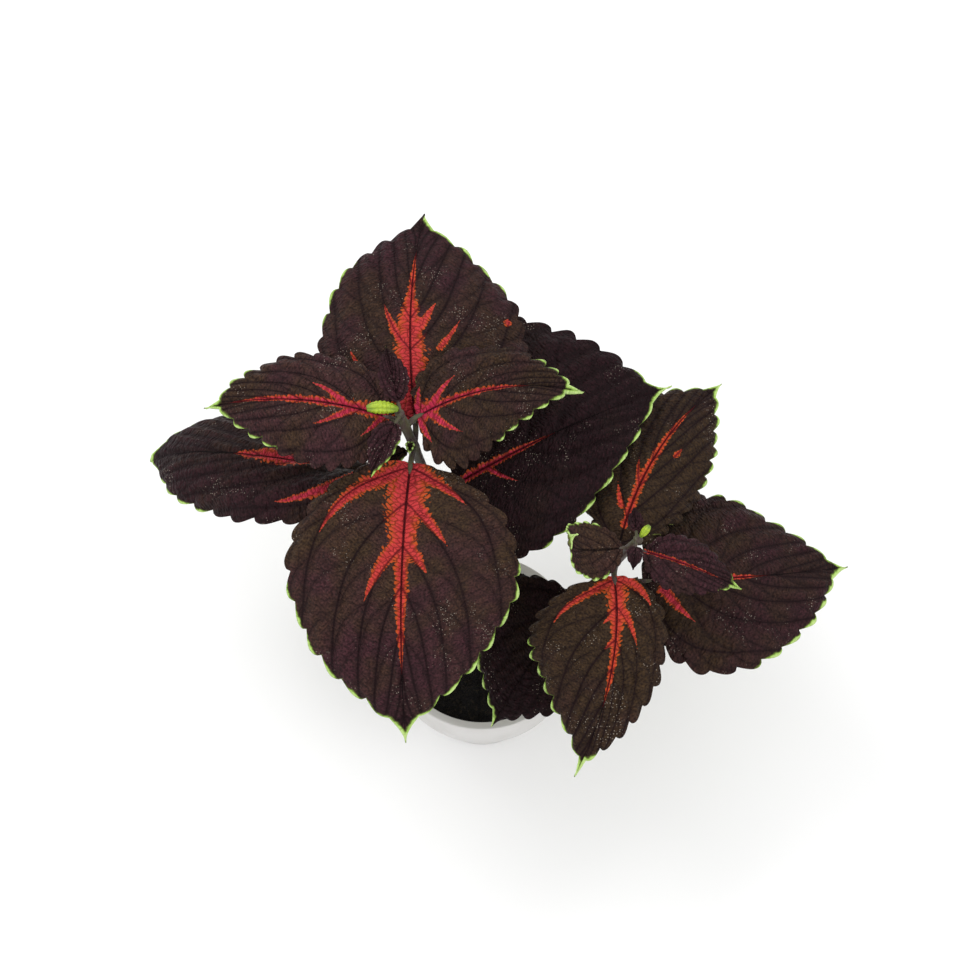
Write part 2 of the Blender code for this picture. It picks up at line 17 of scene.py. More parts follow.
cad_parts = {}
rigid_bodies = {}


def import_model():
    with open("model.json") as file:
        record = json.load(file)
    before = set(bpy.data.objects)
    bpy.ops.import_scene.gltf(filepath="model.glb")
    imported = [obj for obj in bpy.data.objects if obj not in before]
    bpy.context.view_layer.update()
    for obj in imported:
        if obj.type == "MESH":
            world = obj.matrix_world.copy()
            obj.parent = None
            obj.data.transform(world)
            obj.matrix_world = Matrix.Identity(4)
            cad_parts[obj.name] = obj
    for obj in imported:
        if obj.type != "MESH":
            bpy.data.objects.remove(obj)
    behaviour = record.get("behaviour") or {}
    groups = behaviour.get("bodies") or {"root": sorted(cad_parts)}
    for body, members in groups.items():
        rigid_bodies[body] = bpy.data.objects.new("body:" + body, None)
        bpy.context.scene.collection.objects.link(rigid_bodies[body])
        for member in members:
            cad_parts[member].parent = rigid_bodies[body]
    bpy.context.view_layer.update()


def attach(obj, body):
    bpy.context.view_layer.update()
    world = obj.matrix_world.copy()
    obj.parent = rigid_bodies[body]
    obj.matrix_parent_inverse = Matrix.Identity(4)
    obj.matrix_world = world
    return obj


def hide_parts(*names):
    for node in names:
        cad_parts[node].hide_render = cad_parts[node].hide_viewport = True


Piece = bpy.types.Object
Material = bpy.types.Material
Socket = bpy.types.NodeSocket
Value = Union[Socket, float, tuple]

LOG = logging.getLogger("potted_coleus")
GAP = 0.0003
WELD = 0.00001
POLE = 0.000001
SEED = 7
GOLDEN_ANGLE = 2.39996
FULL_TURN = 6.28


class Side(Enum):
    """Half of a blade, seen along the leaf from its base, or the midrib between the halves."""

    LEFT = -1
    MIDDLE = 0
    RIGHT = 1


class Shoot(Enum):
    """The plant's two shoots, as its nodes' names give them."""

    MAIN = "main"
    SIDE = "side"


class Mixing(Enum):
    """How one colour goes on another."""

    LAID_ON = "MIX"
    MULTIPLIED = "MULTIPLY"


class CellPart(Enum):
    """What a cell pattern measures the distance to."""

    BORDER = "DISTANCE_TO_EDGE"
    MIDDLE = "F1"


class Slot(Enum):
    """Material slots of the part's record."""

    POT = "pot_plastic"
    SOIL = "soil"
    STEM = "stem_skin"
    BLADE = "blade"
    YOUNG = "young_blade"
    BUD = "bud_skin"


def tint(red: float, green: float, blue: float) -> tuple:
    """Linear colour with alpha from screen values of 0 to 255.

    Args:
        red: Red, from 0 to 255.
        green: Green, from 0 to 255.
        blue: Blue, from 0 to 255.

    Returns:
        Linear red, green and blue, and an alpha of 1.
    """
    shares = [value / 255 for value in (red, green, blue)]
    linear = [s / 12.92 if s <= 0.04045 else ((s + 0.055) / 1.055) ** 2.4 for s in shares]
    return (*linear, 1.0)


def heading(azimuth: float, pitch: float) -> np.ndarray:
    """Unit vector at an azimuth and a pitch, in radians."""
    level = math.cos(pitch)
    return np.array([level * math.cos(azimuth), level * math.sin(azimuth), math.sin(pitch)])


def unit(vector: np.ndarray) -> np.ndarray:
    """Vector of length one along the given one."""
    return vector / np.linalg.norm(vector)


def smooth_step(value: np.ndarray, low: float, high: float) -> np.ndarray:
    """Share from 0 at low to 1 at high, with an even start and end."""
    share = np.clip((value - low) / (high - low), 0, 1)
    return share * share * (3 - 2 * share)


def distance_to_path(points: np.ndarray, path: np.ndarray) -> tuple[np.ndarray, np.ndarray]:
    """Distance from each flat point to a path, and how far along the path its nearest place is.

    Args:
        points: Flat points, one a row.
        path: The path's own points, one a row.

    Returns:
        The distances in metres, and the shares from 0 to 1 by count of the path's points.
    """
    nearest = np.full(len(points), np.inf)
    place = np.zeros(len(points))
    for index, (start, end) in enumerate(zip(path, path[1:])):
        run = end - start
        length = max(float(run @ run), 1e-16)
        share = np.clip(((points - start) @ run) / length, 0, 1)
        away = np.hypot(*(points - start - share[:, None] * run).T)
        closer = away < nearest
        nearest[closer] = away[closer]
        place[closer] = (index + share[closer]) / (len(path) - 1)
    return nearest, place


def deselect_all() -> None:
    """Leave nothing selected, so that an operator acts on the new piece alone."""
    if bpy.context.object and bpy.context.object.mode != "OBJECT":
        bpy.ops.object.mode_set(mode="OBJECT")
    bpy.ops.object.select_all(action="DESELECT")


def take_up(piece: Piece) -> None:
    """Make one piece the only selected one, and the active one.

    Args:
        piece: The piece that the next operators act on.
    """
    deselect_all()
    piece.select_set(True)
    bpy.context.view_layer.objects.active = piece


def finish_with(piece: Piece, kind: str, **settings: object) -> None:
    """Add a modifier to a piece and apply it.

    Args:
        piece: The piece to shape.
        kind: The modifier's type.
        **settings: The modifier's own settings.
    """
    take_up(piece)
    modifier = piece.modifiers.new(kind.title(), kind)
    for name, value in settings.items():
        setattr(modifier, name, value)
    bpy.ops.object.modifier_apply(modifier=modifier.name)


def weld(piece: Piece, closed: bool = True) -> None:
    """Merge points that meet, and on a closed shell turn all faces outwards.

    Args:
        piece: The piece to weld.
        closed: Whether its normals are worked out again.
    """
    take_up(piece)
    bpy.ops.object.mode_set(mode="EDIT")
    bpy.ops.mesh.select_all(action="SELECT")
    bpy.ops.mesh.remove_doubles(threshold=WELD)
    if closed:
        bpy.ops.mesh.normals_make_consistent(inside=False)
    bpy.ops.object.mode_set(mode="OBJECT")


def join(name: str, pieces: list[Piece]) -> Piece:
    """Join pieces into the first one.

    Args:
        name: Name of the joined piece.
        pieces: The pieces, the first of which stays.

    Returns:
        The joined piece.
    """
    take_up(pieces[0])
    for piece in pieces:
        piece.select_set(True)
    if len(pieces) > 1:
        bpy.ops.object.join()
    joined = bpy.context.view_layer.objects.active
    joined.name = name
    joined.data.name = name
    return joined


def formed_grid(name: str, places: np.ndarray) -> Piece:
    """Add a grid and give each of its points its place.

    Args:
        name: Name of the piece.
        places: Points as rows from near to far, each from left to right, seen from the face's front.

    Returns:
        The piece, not yet welded.
    """
    rows, columns = places.shape[:2]
    deselect_all()
    bpy.ops.mesh.primitive_grid_add(x_subdivisions=columns - 1, y_subdivisions=rows - 1, size=1.0)
    piece = bpy.context.object
    piece.name = name
    piece.data.name = name
    piece.data.vertices.foreach_set("co", places.reshape(-1).astype(np.float32))
    piece.data.update()
    return piece


def swept_tube(
        name: str, path: np.ndarray, radii: np.ndarray, section: np.ndarray, first_across: np.ndarray) -> Piece:
    """Roll a grid into a closed tube along a path, with a pole at each end.

    Args:
        name: Name of the piece.
        path: Points along the tube's middle.
        radii: The tube's radius at each of them.
        section: Share of the radius that each side of it reaches, from its right side round over its top.
        first_across: Vector towards the section's first side, before it is squared with the path.

    Returns:
        The welded tube.
    """
    runs = np.gradient(path, axis=0)
    sides = len(section)
    angles = 2 * np.pi * np.arange(sides + 1) / sides
    reach = np.append(section, section[0])
    across = np.array(first_across, dtype=float)
    rows = [np.repeat(path[:1], sides + 1, axis=0)]
    for middle, run, radius in zip(path, runs, radii):
        run = unit(run)
        across = unit(across - (across @ run) * run)
        over = np.cross(across, run)
        turned = np.outer(np.cos(angles) * reach, across) + np.outer(np.sin(angles) * reach, over)
        rows.append(middle + radius * turned)
    rows.append(np.repeat(path[-1:], sides + 1, axis=0))
    piece = formed_grid(name, np.array(rows))
    weld(piece)
    return piece


class Graph:
    """Node tree of one material, with a short call for each kind of node that the finishes use."""

    def __init__(self, name: str) -> None:
        """Start a material of the given name.

        Args:
            name: Name of the material.
        """
        self.material = bpy.data.materials.new(name)
        self.material.use_nodes = True
        self.tree = self.material.node_tree
        self.shader = self.tree.nodes["Principled BSDF"]

    def feed(self, socket: Socket, value: Value) -> None:
        """Link a socket to another, or set it to a constant.

        Args:
            socket: The socket to feed.
            value: Another node's output, or a constant.
        """
        if isinstance(value, Socket):
            self.tree.links.new(value, socket)
        else:
            socket.default_value = value

    def principled(self, **values: Value) -> None:
        """Feed the shader's sockets, named with underscores for spaces."""
        for name, value in values.items():
            self.feed(self.shader.inputs[name.replace("_", " ")], value)

    def reckon(self, operation: str, first: Value, second: Value) -> Socket:
        """Result of one calculation with two numbers.

        Args:
            operation: Name of the calculation.
            first: The first number.
            second: The second number.

        Returns:
            The result.
        """
        node = self.tree.nodes.new("ShaderNodeMath")
        node.operation = operation
        self.feed(node.inputs[0], first)
        self.feed(node.inputs[1], second)
        return node.outputs[0]

    def plus(self, first: Value, second: Value) -> Socket:
        """Sum of two numbers."""
        return self.reckon("ADD", first, second)

    def less(self, first: Value, second: Value) -> Socket:
        """First number less the second."""
        return self.reckon("SUBTRACT", first, second)

    def times(self, first: Value, second: Value) -> Socket:
        """Product of two numbers."""
        return self.reckon("MULTIPLY", first, second)

    def larger(self, first: Value, second: Value) -> Socket:
        """Larger one of two numbers."""
        return self.reckon("MAXIMUM", first, second)

    def span(self, value: Value, low: float, high: float, start: float = 0.0, end: float = 1.0) -> Socket:
        """Number that goes evenly from start to end as the value goes from low to high.

        Args:
            value: The value that is followed.
            low: Value at the start.
            high: Value at the end.
            start: Result at the low value and below.
            end: Result at the high value and above.

        Returns:
            The result, eased at both ends.
        """
        node = self.tree.nodes.new("ShaderNodeMapRange")
        node.interpolation_type = "SMOOTHSTEP"
        for socket, given in zip(node.inputs[:5], (value, low, high, start, end)):
            self.feed(socket, given)
        return node.outputs[0]

    def blend(self, factor: Value, first: Value, second: Value, mixing: Mixing = Mixing.LAID_ON) -> Socket:
        """Colour between the first and the second.

        Args:
            factor: How much of the second colour there is.
            first: The colour underneath.
            second: The colour on top.
            mixing: How the second goes on the first.

        Returns:
            The blended colour.
        """
        node = self.tree.nodes.new("ShaderNodeMix")
        node.data_type = "RGBA"
        node.blend_type = mixing.value
        self.feed(node.inputs[0], factor)
        self.feed(node.inputs[6], first)
        self.feed(node.inputs[7], second)
        return node.outputs[2]

    def attribute(self, name: str, output: str = "Fac") -> Socket:
        """Value that a piece's mesh carries under a name.

        Args:
            name: Name of the attribute.
            output: Which of the node's outputs is wanted.

        Returns:
            The value.
        """
        node = self.tree.nodes.new("ShaderNodeAttribute")
        node.attribute_name = name
        return node.outputs[output]

    def place(self) -> Socket:
        """Object coordinates."""
        return self.tree.nodes.new("ShaderNodeTexCoord").outputs["Object"]

    def scaled(self, vector: Socket, factors: tuple) -> Socket:
        """Vector with each part multiplied by its own factor.

        Args:
            vector: The vector.
            factors: A factor for each of its parts.

        Returns:
            The scaled vector.
        """
        node = self.tree.nodes.new("ShaderNodeVectorMath")
        node.operation = "MULTIPLY"
        self.feed(node.inputs[0], vector)
        self.feed(node.inputs[1], factors)
        return node.outputs[0]

    def shifted(self, vector: Socket, offset: Socket, amount: float) -> Socket:
        """Vector moved by a share of another one.

        Args:
            vector: The vector to move.
            offset: The vector to move it by.
            amount: The share of the offset that is used.

        Returns:
            The moved vector.
        """
        node = self.tree.nodes.new("ShaderNodeVectorMath")
        node.operation = "MULTIPLY_ADD"
        self.feed(node.inputs[0], offset)
        self.feed(node.inputs[1], (amount, amount, amount))
        self.feed(node.inputs[2], vector)
        return node.outputs[0]

    def clouds(self, vector: Socket, scale: float, detail: float = 3.0, output: str = "Fac") -> Socket:
        """Soft irregular pattern.

        Args:
            vector: Where the pattern is read.
            scale: How many clouds fit in a metre.
            detail: How fine their smallest part is.
            output: Which of the node's outputs is wanted.

        Returns:
            The pattern.
        """
        node = self.tree.nodes.new("ShaderNodeTexNoise")
        self.feed(node.inputs["Vector"], vector)
        self.feed(node.inputs["Scale"], scale)
        self.feed(node.inputs["Detail"], detail)
        return node.outputs[output]

    def cells(
            self, vector: Socket, scale: float, part: CellPart = CellPart.BORDER,
            evenness: float = 0.0) -> Socket:
        """Distance to the borders or the middles of cells.

        Args:
            vector: Where the pattern is read.
            scale: How many cells fit in a metre.
            part: What the distance is measured to.
            evenness: How regular the cells are, from 0 to 1.

        Returns:
            The distance.
        """
        node = self.tree.nodes.new("ShaderNodeTexVoronoi")
        node.feature = part.value
        node.inputs["Randomness"].default_value = 1 - evenness
        self.feed(node.inputs["Vector"], vector)
        self.feed(node.inputs["Scale"], scale)
        return node.outputs["Distance"]

    def relief(self, height: Socket, distance: float, strength: float = 1.0) -> Socket:
        """Normal of a surface that a height raises by a distance in metres.

        Args:
            height: The height, as a share of the distance.
            distance: The distance, in metres.
            strength: How much of the relief shows.

        Returns:
            The normal.
        """
        node = self.tree.nodes.new("ShaderNodeBump")
        self.feed(node.inputs["Strength"], strength)
        self.feed(node.inputs["Distance"], distance)
        self.feed(node.inputs["Height"], height)
        return node.outputs[0]


@dataclass(frozen=True)
class BladeFinish:
    """Face and underside of a leaf blade, painted from what its mesh carries in flat blade measures."""

    olive: tuple = tint(74, 56, 38)
    purple: tuple = tint(74, 42, 49)
    # Dark tone of the blade: its own dark mottle and veins, and also the painted shade along the side veins.
    shade: tuple = tint(26, 17, 18)
    pink: tuple = tint(196, 50, 82)
    coral: tuple = tint(204, 70, 50)
    orange: tuple = tint(188, 84, 30)
    maroon: tuple = tint(84, 14, 22)
    vein_dark: tuple = tint(24, 10, 13)
    # Colour of the painted highlight specks.
    glint: tuple = tint(168, 156, 142)
    lime: tuple = tint(150, 188, 84)
    pale_lime: tuple = tint(186, 212, 132)
    moss: tuple = tint(92, 106, 48)
    under_dusk: tuple = tint(96, 72, 62)
    under_leaf: tuple = tint(112, 122, 58)
    rung: float = 0.0022
    rung_length: float = 0.0042
    rung_drift: float = 160.0
    evenness: float = 0.3
    net: float = 0.0062
    net_drift: float = 90.0
    patch_scale: float = 55.0
    mottle_scale: float = 900.0
    fuzz_scale: float = 420.0
    fleck_scale: float = 800.0
    edge_scale: float = 380.0
    edge_wander: float = 0.0020
    glint_speck_scale: float = 820.0
    glint_patch_scale: float = 60.0
    gloss_scale: float = 500.0
    puff_scale: float = 1500.0
    puff_height: float = 0.0006
    under_scale: float = 70.0
    under_height: float = 0.0004
    roughness: float = 0.58
    sheen: float = 0.01
    specular: float = 0.07

    def rungs(self, graph: Graph) -> Socket:
        """Distance from the fine cross veins that join the side veins like the rungs of a ladder.

        Args:
            graph: The graph that the nodes go into.

        Returns:
            The distance from the borders of the cells between the veins.
        """
        weave = graph.attribute("weave", "Vector")
        drift = graph.clouds(graph.attribute("flat", "Vector"), self.rung_drift, 2.0, "Color")
        laid = graph.scaled(weave, (1 / self.rung, 1 / self.rung_length, 1.0))
        return graph.cells(graph.shifted(laid, drift, 0.5), 1.0, evenness=self.evenness)

    def splashed(self, graph: Graph, ground: object, cell: object) -> Socket:
        """Ground colour with the red splash laid on, feathered along the cross veins.

        Args:
            graph: The graph that the nodes go into.
            ground: The blade's colour.
            cell: Distance from the fine cross veins.

        Returns:
            The colour.
        """
        flat = graph.attribute("flat", "Vector")
        ragged = graph.plus(graph.attribute("splash"), graph.span(cell, 0.0, 0.30, -0.22, 0.12))
        fuzz = graph.times(graph.less(graph.clouds(flat, self.fuzz_scale), 0.5), 0.8)
        depth = graph.plus(ragged, fuzz)
        shown = graph.span(graph.clouds(flat, self.fleck_scale), 0.3, 0.7, 0.1, 0.45)
        heart = graph.blend(graph.attribute("pinkness"), self.coral, self.pink)
        glow = graph.blend(graph.span(depth, 0.05, 0.62), self.orange, heart)
        lined = graph.blend(graph.span(cell, 0.01, 0.15), graph.blend(0.7, glow, self.maroon), glow)
        lined = graph.blend(shown, lined, graph.blend(0.45, lined, self.maroon))
        return graph.blend(graph.span(depth, -0.08, 0.12), ground, lined)

    def veined(self, graph: Graph, ground: object) -> Socket:
        """Colour with the midrib and the side veins drawn dark.

        Args:
            graph: The graph that the nodes go into.
            ground: The blade's colour.

        Returns:
            The colour.
        """
        inside = graph.span(graph.attribute("splash"), -0.3, 0.2)
        ink = graph.blend(inside, self.vein_dark, self.maroon)
        side_vein = graph.span(graph.attribute("vein"), 0.0001, 0.0009, 0.9, 0.0)
        drawn = graph.blend(side_vein, ground, ink)
        middle = graph.span(graph.attribute("rib"), 0.0003, 0.0011, 0.95, 0.0)
        return graph.blend(middle, drawn, ink)

    def edged(self, graph: Graph, ground: object) -> Socket:
        """Colour with the lime edge laid over it.

        Args:
            graph: The graph that the nodes go into.
            ground: The blade's colour.

        Returns:
            The colour.
        """
        flat = graph.attribute("flat", "Vector")
        wander = graph.times(graph.less(graph.clouds(flat, self.edge_scale), 0.5), self.edge_wander)
        rim = graph.plus(graph.attribute("rim"), wander)
        green = graph.blend(graph.span(rim, 0.0002, 0.0012), self.lime, self.pale_lime)
        mossy = graph.blend(graph.span(rim, -0.0008, 0.0001), ground, self.moss)
        return graph.blend(graph.span(rim, -0.0001, 0.0004), mossy, green)

    def face(self) -> Material:
        """Material of the blade's upper face.

        Returns:
            The material.
        """
        graph = Graph("coleus_blade_face")
        flat = graph.attribute("flat", "Vector")
        cell = self.rungs(graph)
        patchy = graph.span(graph.clouds(flat, self.patch_scale), 0.3, 0.7, -0.28, 0.28)
        patches = graph.plus(graph.attribute("tone"), patchy)
        ground = graph.blend(graph.span(patches, 0.0, 1.0), self.olive, self.purple)
        mottle = graph.span(graph.clouds(flat, self.mottle_scale, 5.0), 0.36, 0.70, 0.0, 0.8)
        ground = graph.blend(mottle, ground, self.shade)
        ground = graph.blend(graph.span(cell, 0.0, 0.25, 0.25, 0.0), ground, self.shade)
        net = self.netting(graph, flat)
        ground = graph.blend(graph.span(net, 0.0, 0.14, 0.4, 0.0), ground, self.shade)
        # Painted shade: the ground darkens along the side veins, standing in for the shade of the sunken veins
        # between the raised blade.
        near_vein = graph.span(graph.attribute("vein"), 0.0003, 0.0030, 0.42, 0.0)
        ground = graph.blend(near_vein, ground, self.shade)
        # Painted shade and painted light on the whole blade, with some of the leaf's own tone, as one
        # brightness factor.
        ground = graph.blend(1.0, ground, graph.attribute("shade", "Color"), Mixing.MULTIPLIED)
        # Painted highlight: pale glint specks laid into the ground colour.
        ground = graph.blend(self.glints(graph, flat), ground, self.glint)
        colour = self.edged(graph, self.veined(graph, self.splashed(graph, ground, cell)))
        puff = graph.plus(graph.span(cell, 0.0, 0.45), graph.times(graph.clouds(flat, self.puff_scale), 0.35))
        puff = graph.times(puff, graph.attribute("wrinkle"))
        puff = graph.plus(puff, graph.span(net, 0.0, 0.35, 0.0, 1.2))
        gloss = graph.clouds(flat, self.gloss_scale)
        dullness = graph.span(gloss, 0.3, 0.7, self.roughness - 0.12, self.roughness + 0.1)
        graph.principled(
            Base_Color=colour, Roughness=dullness, Normal=graph.relief(puff, self.puff_height),
            Sheen_Weight=self.sheen, Sheen_Roughness=0.4, Specular_IOR_Level=self.specular)
        return graph.material

    def netting(self, graph: Graph, flat: object) -> Socket:
        """Distance from the wider mesh of veins between the side veins.

        Args:
            graph: The graph that the nodes go into.
            flat: The blade's flat coordinates.

        Returns:
            The distance.
        """
        drift = graph.clouds(flat, self.net_drift, 3.0, "Color")
        laid = graph.scaled(graph.attribute("weave", "Vector"), (1 / self.net, 0.8 / self.net, 1.0))
        return graph.cells(graph.shifted(laid, drift, 0.9), 1.0)

    def glints(self, graph: Graph, flat: object) -> Socket:
        """Strength of the painted highlights: fine pale specks that stand in for the glints off patches of
        short hairs.
        """
        specks = graph.span(graph.cells(flat, self.glint_speck_scale, CellPart.MIDDLE), 0.10, 0.27, 0.8, 0.0)
        return graph.times(specks, graph.span(graph.clouds(flat, self.glint_patch_scale, 5.0), 0.54, 0.66))

    def underside(self) -> Material:
        """Material of the blade's under face.

        Returns:
            The material.
        """
        graph = Graph("coleus_blade_underside")
        flat = graph.attribute("flat", "Vector")
        cell = self.rungs(graph)
        patches = graph.span(graph.clouds(flat, self.under_scale), 0.3, 0.7)
        ground = graph.blend(patches, self.under_dusk, self.under_leaf)
        ground = graph.blend(graph.span(cell, 0.0, 0.2, 0.4, 0.0), ground, self.moss)
        near_vein = graph.span(graph.attribute("vein"), 0.0003, 0.0009, 0.7, 0.0)
        colour = self.edged(graph, graph.blend(near_vein, ground, self.under_leaf))
        bumps = graph.less(graph.clouds(flat, self.puff_scale), graph.span(cell, 0.0, 0.3))
        graph.principled(
            Base_Color=colour, Roughness=0.6, Normal=graph.relief(bumps, self.under_height, 0.7),
            Sheen_Weight=self.sheen, Specular_IOR_Level=self.specular)
        return graph.material


@dataclass(frozen=True)
class StemFinish:
    """Skin of stems and leaf stalks, dusky with green between."""

    dusk: tuple = tint(58, 34, 35)
    green: tuple = tint(66, 64, 34)
    roughness: float = 0.5
    streak_scale: float = 260.0
    fine_scale: float = 1400.0

    def material(self) -> Material:
        """Material of the skin.

        Returns:
            The material.
        """
        graph = Graph("coleus_stem_skin")
        place = graph.place()
        streaks = graph.clouds(graph.scaled(place, (1.0, 1.0, 0.25)), self.streak_scale, 4.0)
        colour = graph.blend(graph.span(streaks, 0.35, 0.65), self.dusk, self.green)
        fine = graph.clouds(graph.scaled(place, (1.0, 1.0, 0.4)), self.fine_scale)
        graph.principled(
            Base_Color=colour, Roughness=self.roughness, Normal=graph.relief(fine, 0.0002), Sheen_Weight=0.15)
        return graph.material


@dataclass(frozen=True)
class BudFinish:
    """Skin of the unopened leaves, bright lime, with painted shade making it a deeper green in its folds."""

    bright: tuple = tint(172, 196, 44)
    # Deeper green of the painted shade in the folds, also used for the random spots.
    deep: tuple = tint(112, 140, 24)
    roughness: float = 0.42
    spot_scale: float = 900.0
    fine_scale: float = 1600.0

    def material(self) -> Material:
        """Material of the bud.

        Returns:
            The material.
        """
        graph = Graph("coleus_bud_skin")
        place = graph.place()
        # Painted shade: deeper green in the bud's folds and towards its narrow ends.
        fold = graph.span(graph.attribute("fold"), 0.0, 1.0)
        spots = graph.span(graph.clouds(place, self.spot_scale), 0.35, 0.65, 0.0, 0.5)
        colour = graph.blend(graph.larger(fold, spots), self.bright, self.deep)
        fine = graph.clouds(place, self.fine_scale)
        graph.principled(Base_Color=colour, Roughness=self.roughness, Normal=graph.relief(fine, 0.0003))
        return graph.material


@dataclass(frozen=True)
class SoilFinish:
    """Damp potting soil with paler dry patches."""

    damp: tuple = tint(20, 18, 18)
    dry: tuple = tint(50, 42, 34)
    roughness: float = 0.92
    grain_scale: float = 900.0
    dry_scale: float = 500.0
    dirt_scale: float = 1800.0

    def material(self) -> Material:
        """Material of the soil.

        Returns:
            The material.
        """
        graph = Graph("coleus_soil")
        place = graph.place()
        grains = graph.cells(place, self.grain_scale, CellPart.MIDDLE)
        dryness = graph.span(graph.clouds(place, self.dry_scale, 6.0), 0.5, 0.75)
        height = graph.plus(grains, graph.clouds(place, self.dirt_scale, 6.0))
        graph.principled(
            Base_Color=graph.blend(dryness, self.damp, self.dry), Roughness=self.roughness,
            Normal=graph.relief(height, 0.0008), Specular_IOR_Level=0.2)
        return graph.material


@dataclass(frozen=True)
class PotFinish:
    """Pale matt moulded plastic, with soil dust inside to a little above the soil."""

    pale: tuple = tint(204, 202, 200)
    warm: tuple = tint(198, 196, 193)
    dust: tuple = tint(120, 108, 96)
    dust_top: float = 0.0705
    dust_fade: float = 0.004
    dust_scale: float = 420.0
    roughness: float = 0.48
    cloud_scale: float = 38.0
    grain_scale: float = 2600.0

    def material(self) -> Material:
        """Material of the pot.

        Returns:
            The material.
        """
        graph = Graph("coleus_pot_plastic")
        place = graph.place()
        cloud = graph.span(graph.clouds(place, self.cloud_scale, 4.0), 0.35, 0.65)
        colour = graph.blend(cloud, self.pale, self.warm)
        height = graph.tree.nodes.new("ShaderNodeSeparateXYZ")
        graph.feed(height.inputs[0], place)
        bottom, top = self.dust_top - self.dust_fade, self.dust_top + self.dust_fade
        low = graph.span(height.outputs["Z"], bottom, top, 1.0, 0.0)
        dusty = graph.span(graph.clouds(place, self.dust_scale, 5.0), 0.4, 0.7)
        dusty = graph.times(graph.times(graph.attribute("inside"), low), dusty)
        colour = graph.blend(dusty, colour, self.dust)
        grain = graph.clouds(place, self.grain_scale, 2.0)
        graph.principled(
            Base_Color=colour, Roughness=graph.span(cloud, 0.0, 1.0, self.roughness, self.roughness + 0.08),
            Normal=graph.relief(grain, 0.00008, 0.6))
        return graph.material


@dataclass(frozen=True)
class Streak:
    """Red streak along the midrib, or along the side vein that leaves it at a share of the blade's length.

    Its start and end are shares of the blade's length too, and its width is in metres. The higher its fullness,
    the longer it keeps its width before it tapers.
    """

    side: Side
    vein: float
    start: float
    end: float
    width: float
    fullness: float = 1.6


@dataclass(frozen=True)
class LimeEdge:
    """Stretch of lime along one margin, between two shares of the blade's length, with its width in metres."""

    side: Side
    start: float
    end: float
    width: float


@dataclass(frozen=True)
class Markings:
    """What is painted on one blade, and how it is tinted.

    Pinkness turns the splash from coral to pink. The tones at base and tip go from olive at 0 to purple at 1.
    Shade scales the ground's brightness, partly the leaf's own tone and partly painted shade below 1 and
    painted light above 1; wrinkle is the strength of its fine relief.
    """

    streaks: tuple[Streak, ...] = ()
    lime: tuple[LimeEdge, ...] = ()
    pinkness: float = 0.3
    base_tone: float = 0.3
    tip_tone: float = 0.8
    shade: float = 1.0
    wrinkle: float = 1.0


@dataclass(frozen=True)
class LeafShape:
    """One leaf: where it grows, its size, and how its blade is held.

    Its share is how far up the stem it grows, and its petiole is its stalk's length.
    Angles are in degrees. A positive skew makes a blade's right half the wider one, and a positive slant
    sweeps that half back and the left half forwards.
    """

    name: str
    shoot: Shoot
    share: float
    azimuth: float
    petiole: float
    rise: float
    length: float
    width: float
    pitch: float
    droop: float
    swing: float = 0.0
    sweep: float = 0.0
    roll: float = 0.0
    twist: float = 0.0
    fold: float = 0.0
    curl: float = 0.0
    skew: float = 0.0
    slant: float = 0.0
    teeth: int = 13
    tooth_depth: float = 0.0028
    base_power: float = 0.68
    tip_power: float = 1.0
    beak: float = 0.08
    droop_power: float = 1.0
    stalk_radius: float = 0.0015
    marks: Markings = field(default_factory=Markings)

    def outward(self) -> np.ndarray:
        """Unit vector along which the leaf's stalk leaves the stem."""
        return heading(math.radians(self.azimuth + self.swing), math.radians(self.rise))


LEFT, MIDDLE, RIGHT = Side.LEFT, Side.MIDDLE, Side.RIGHT

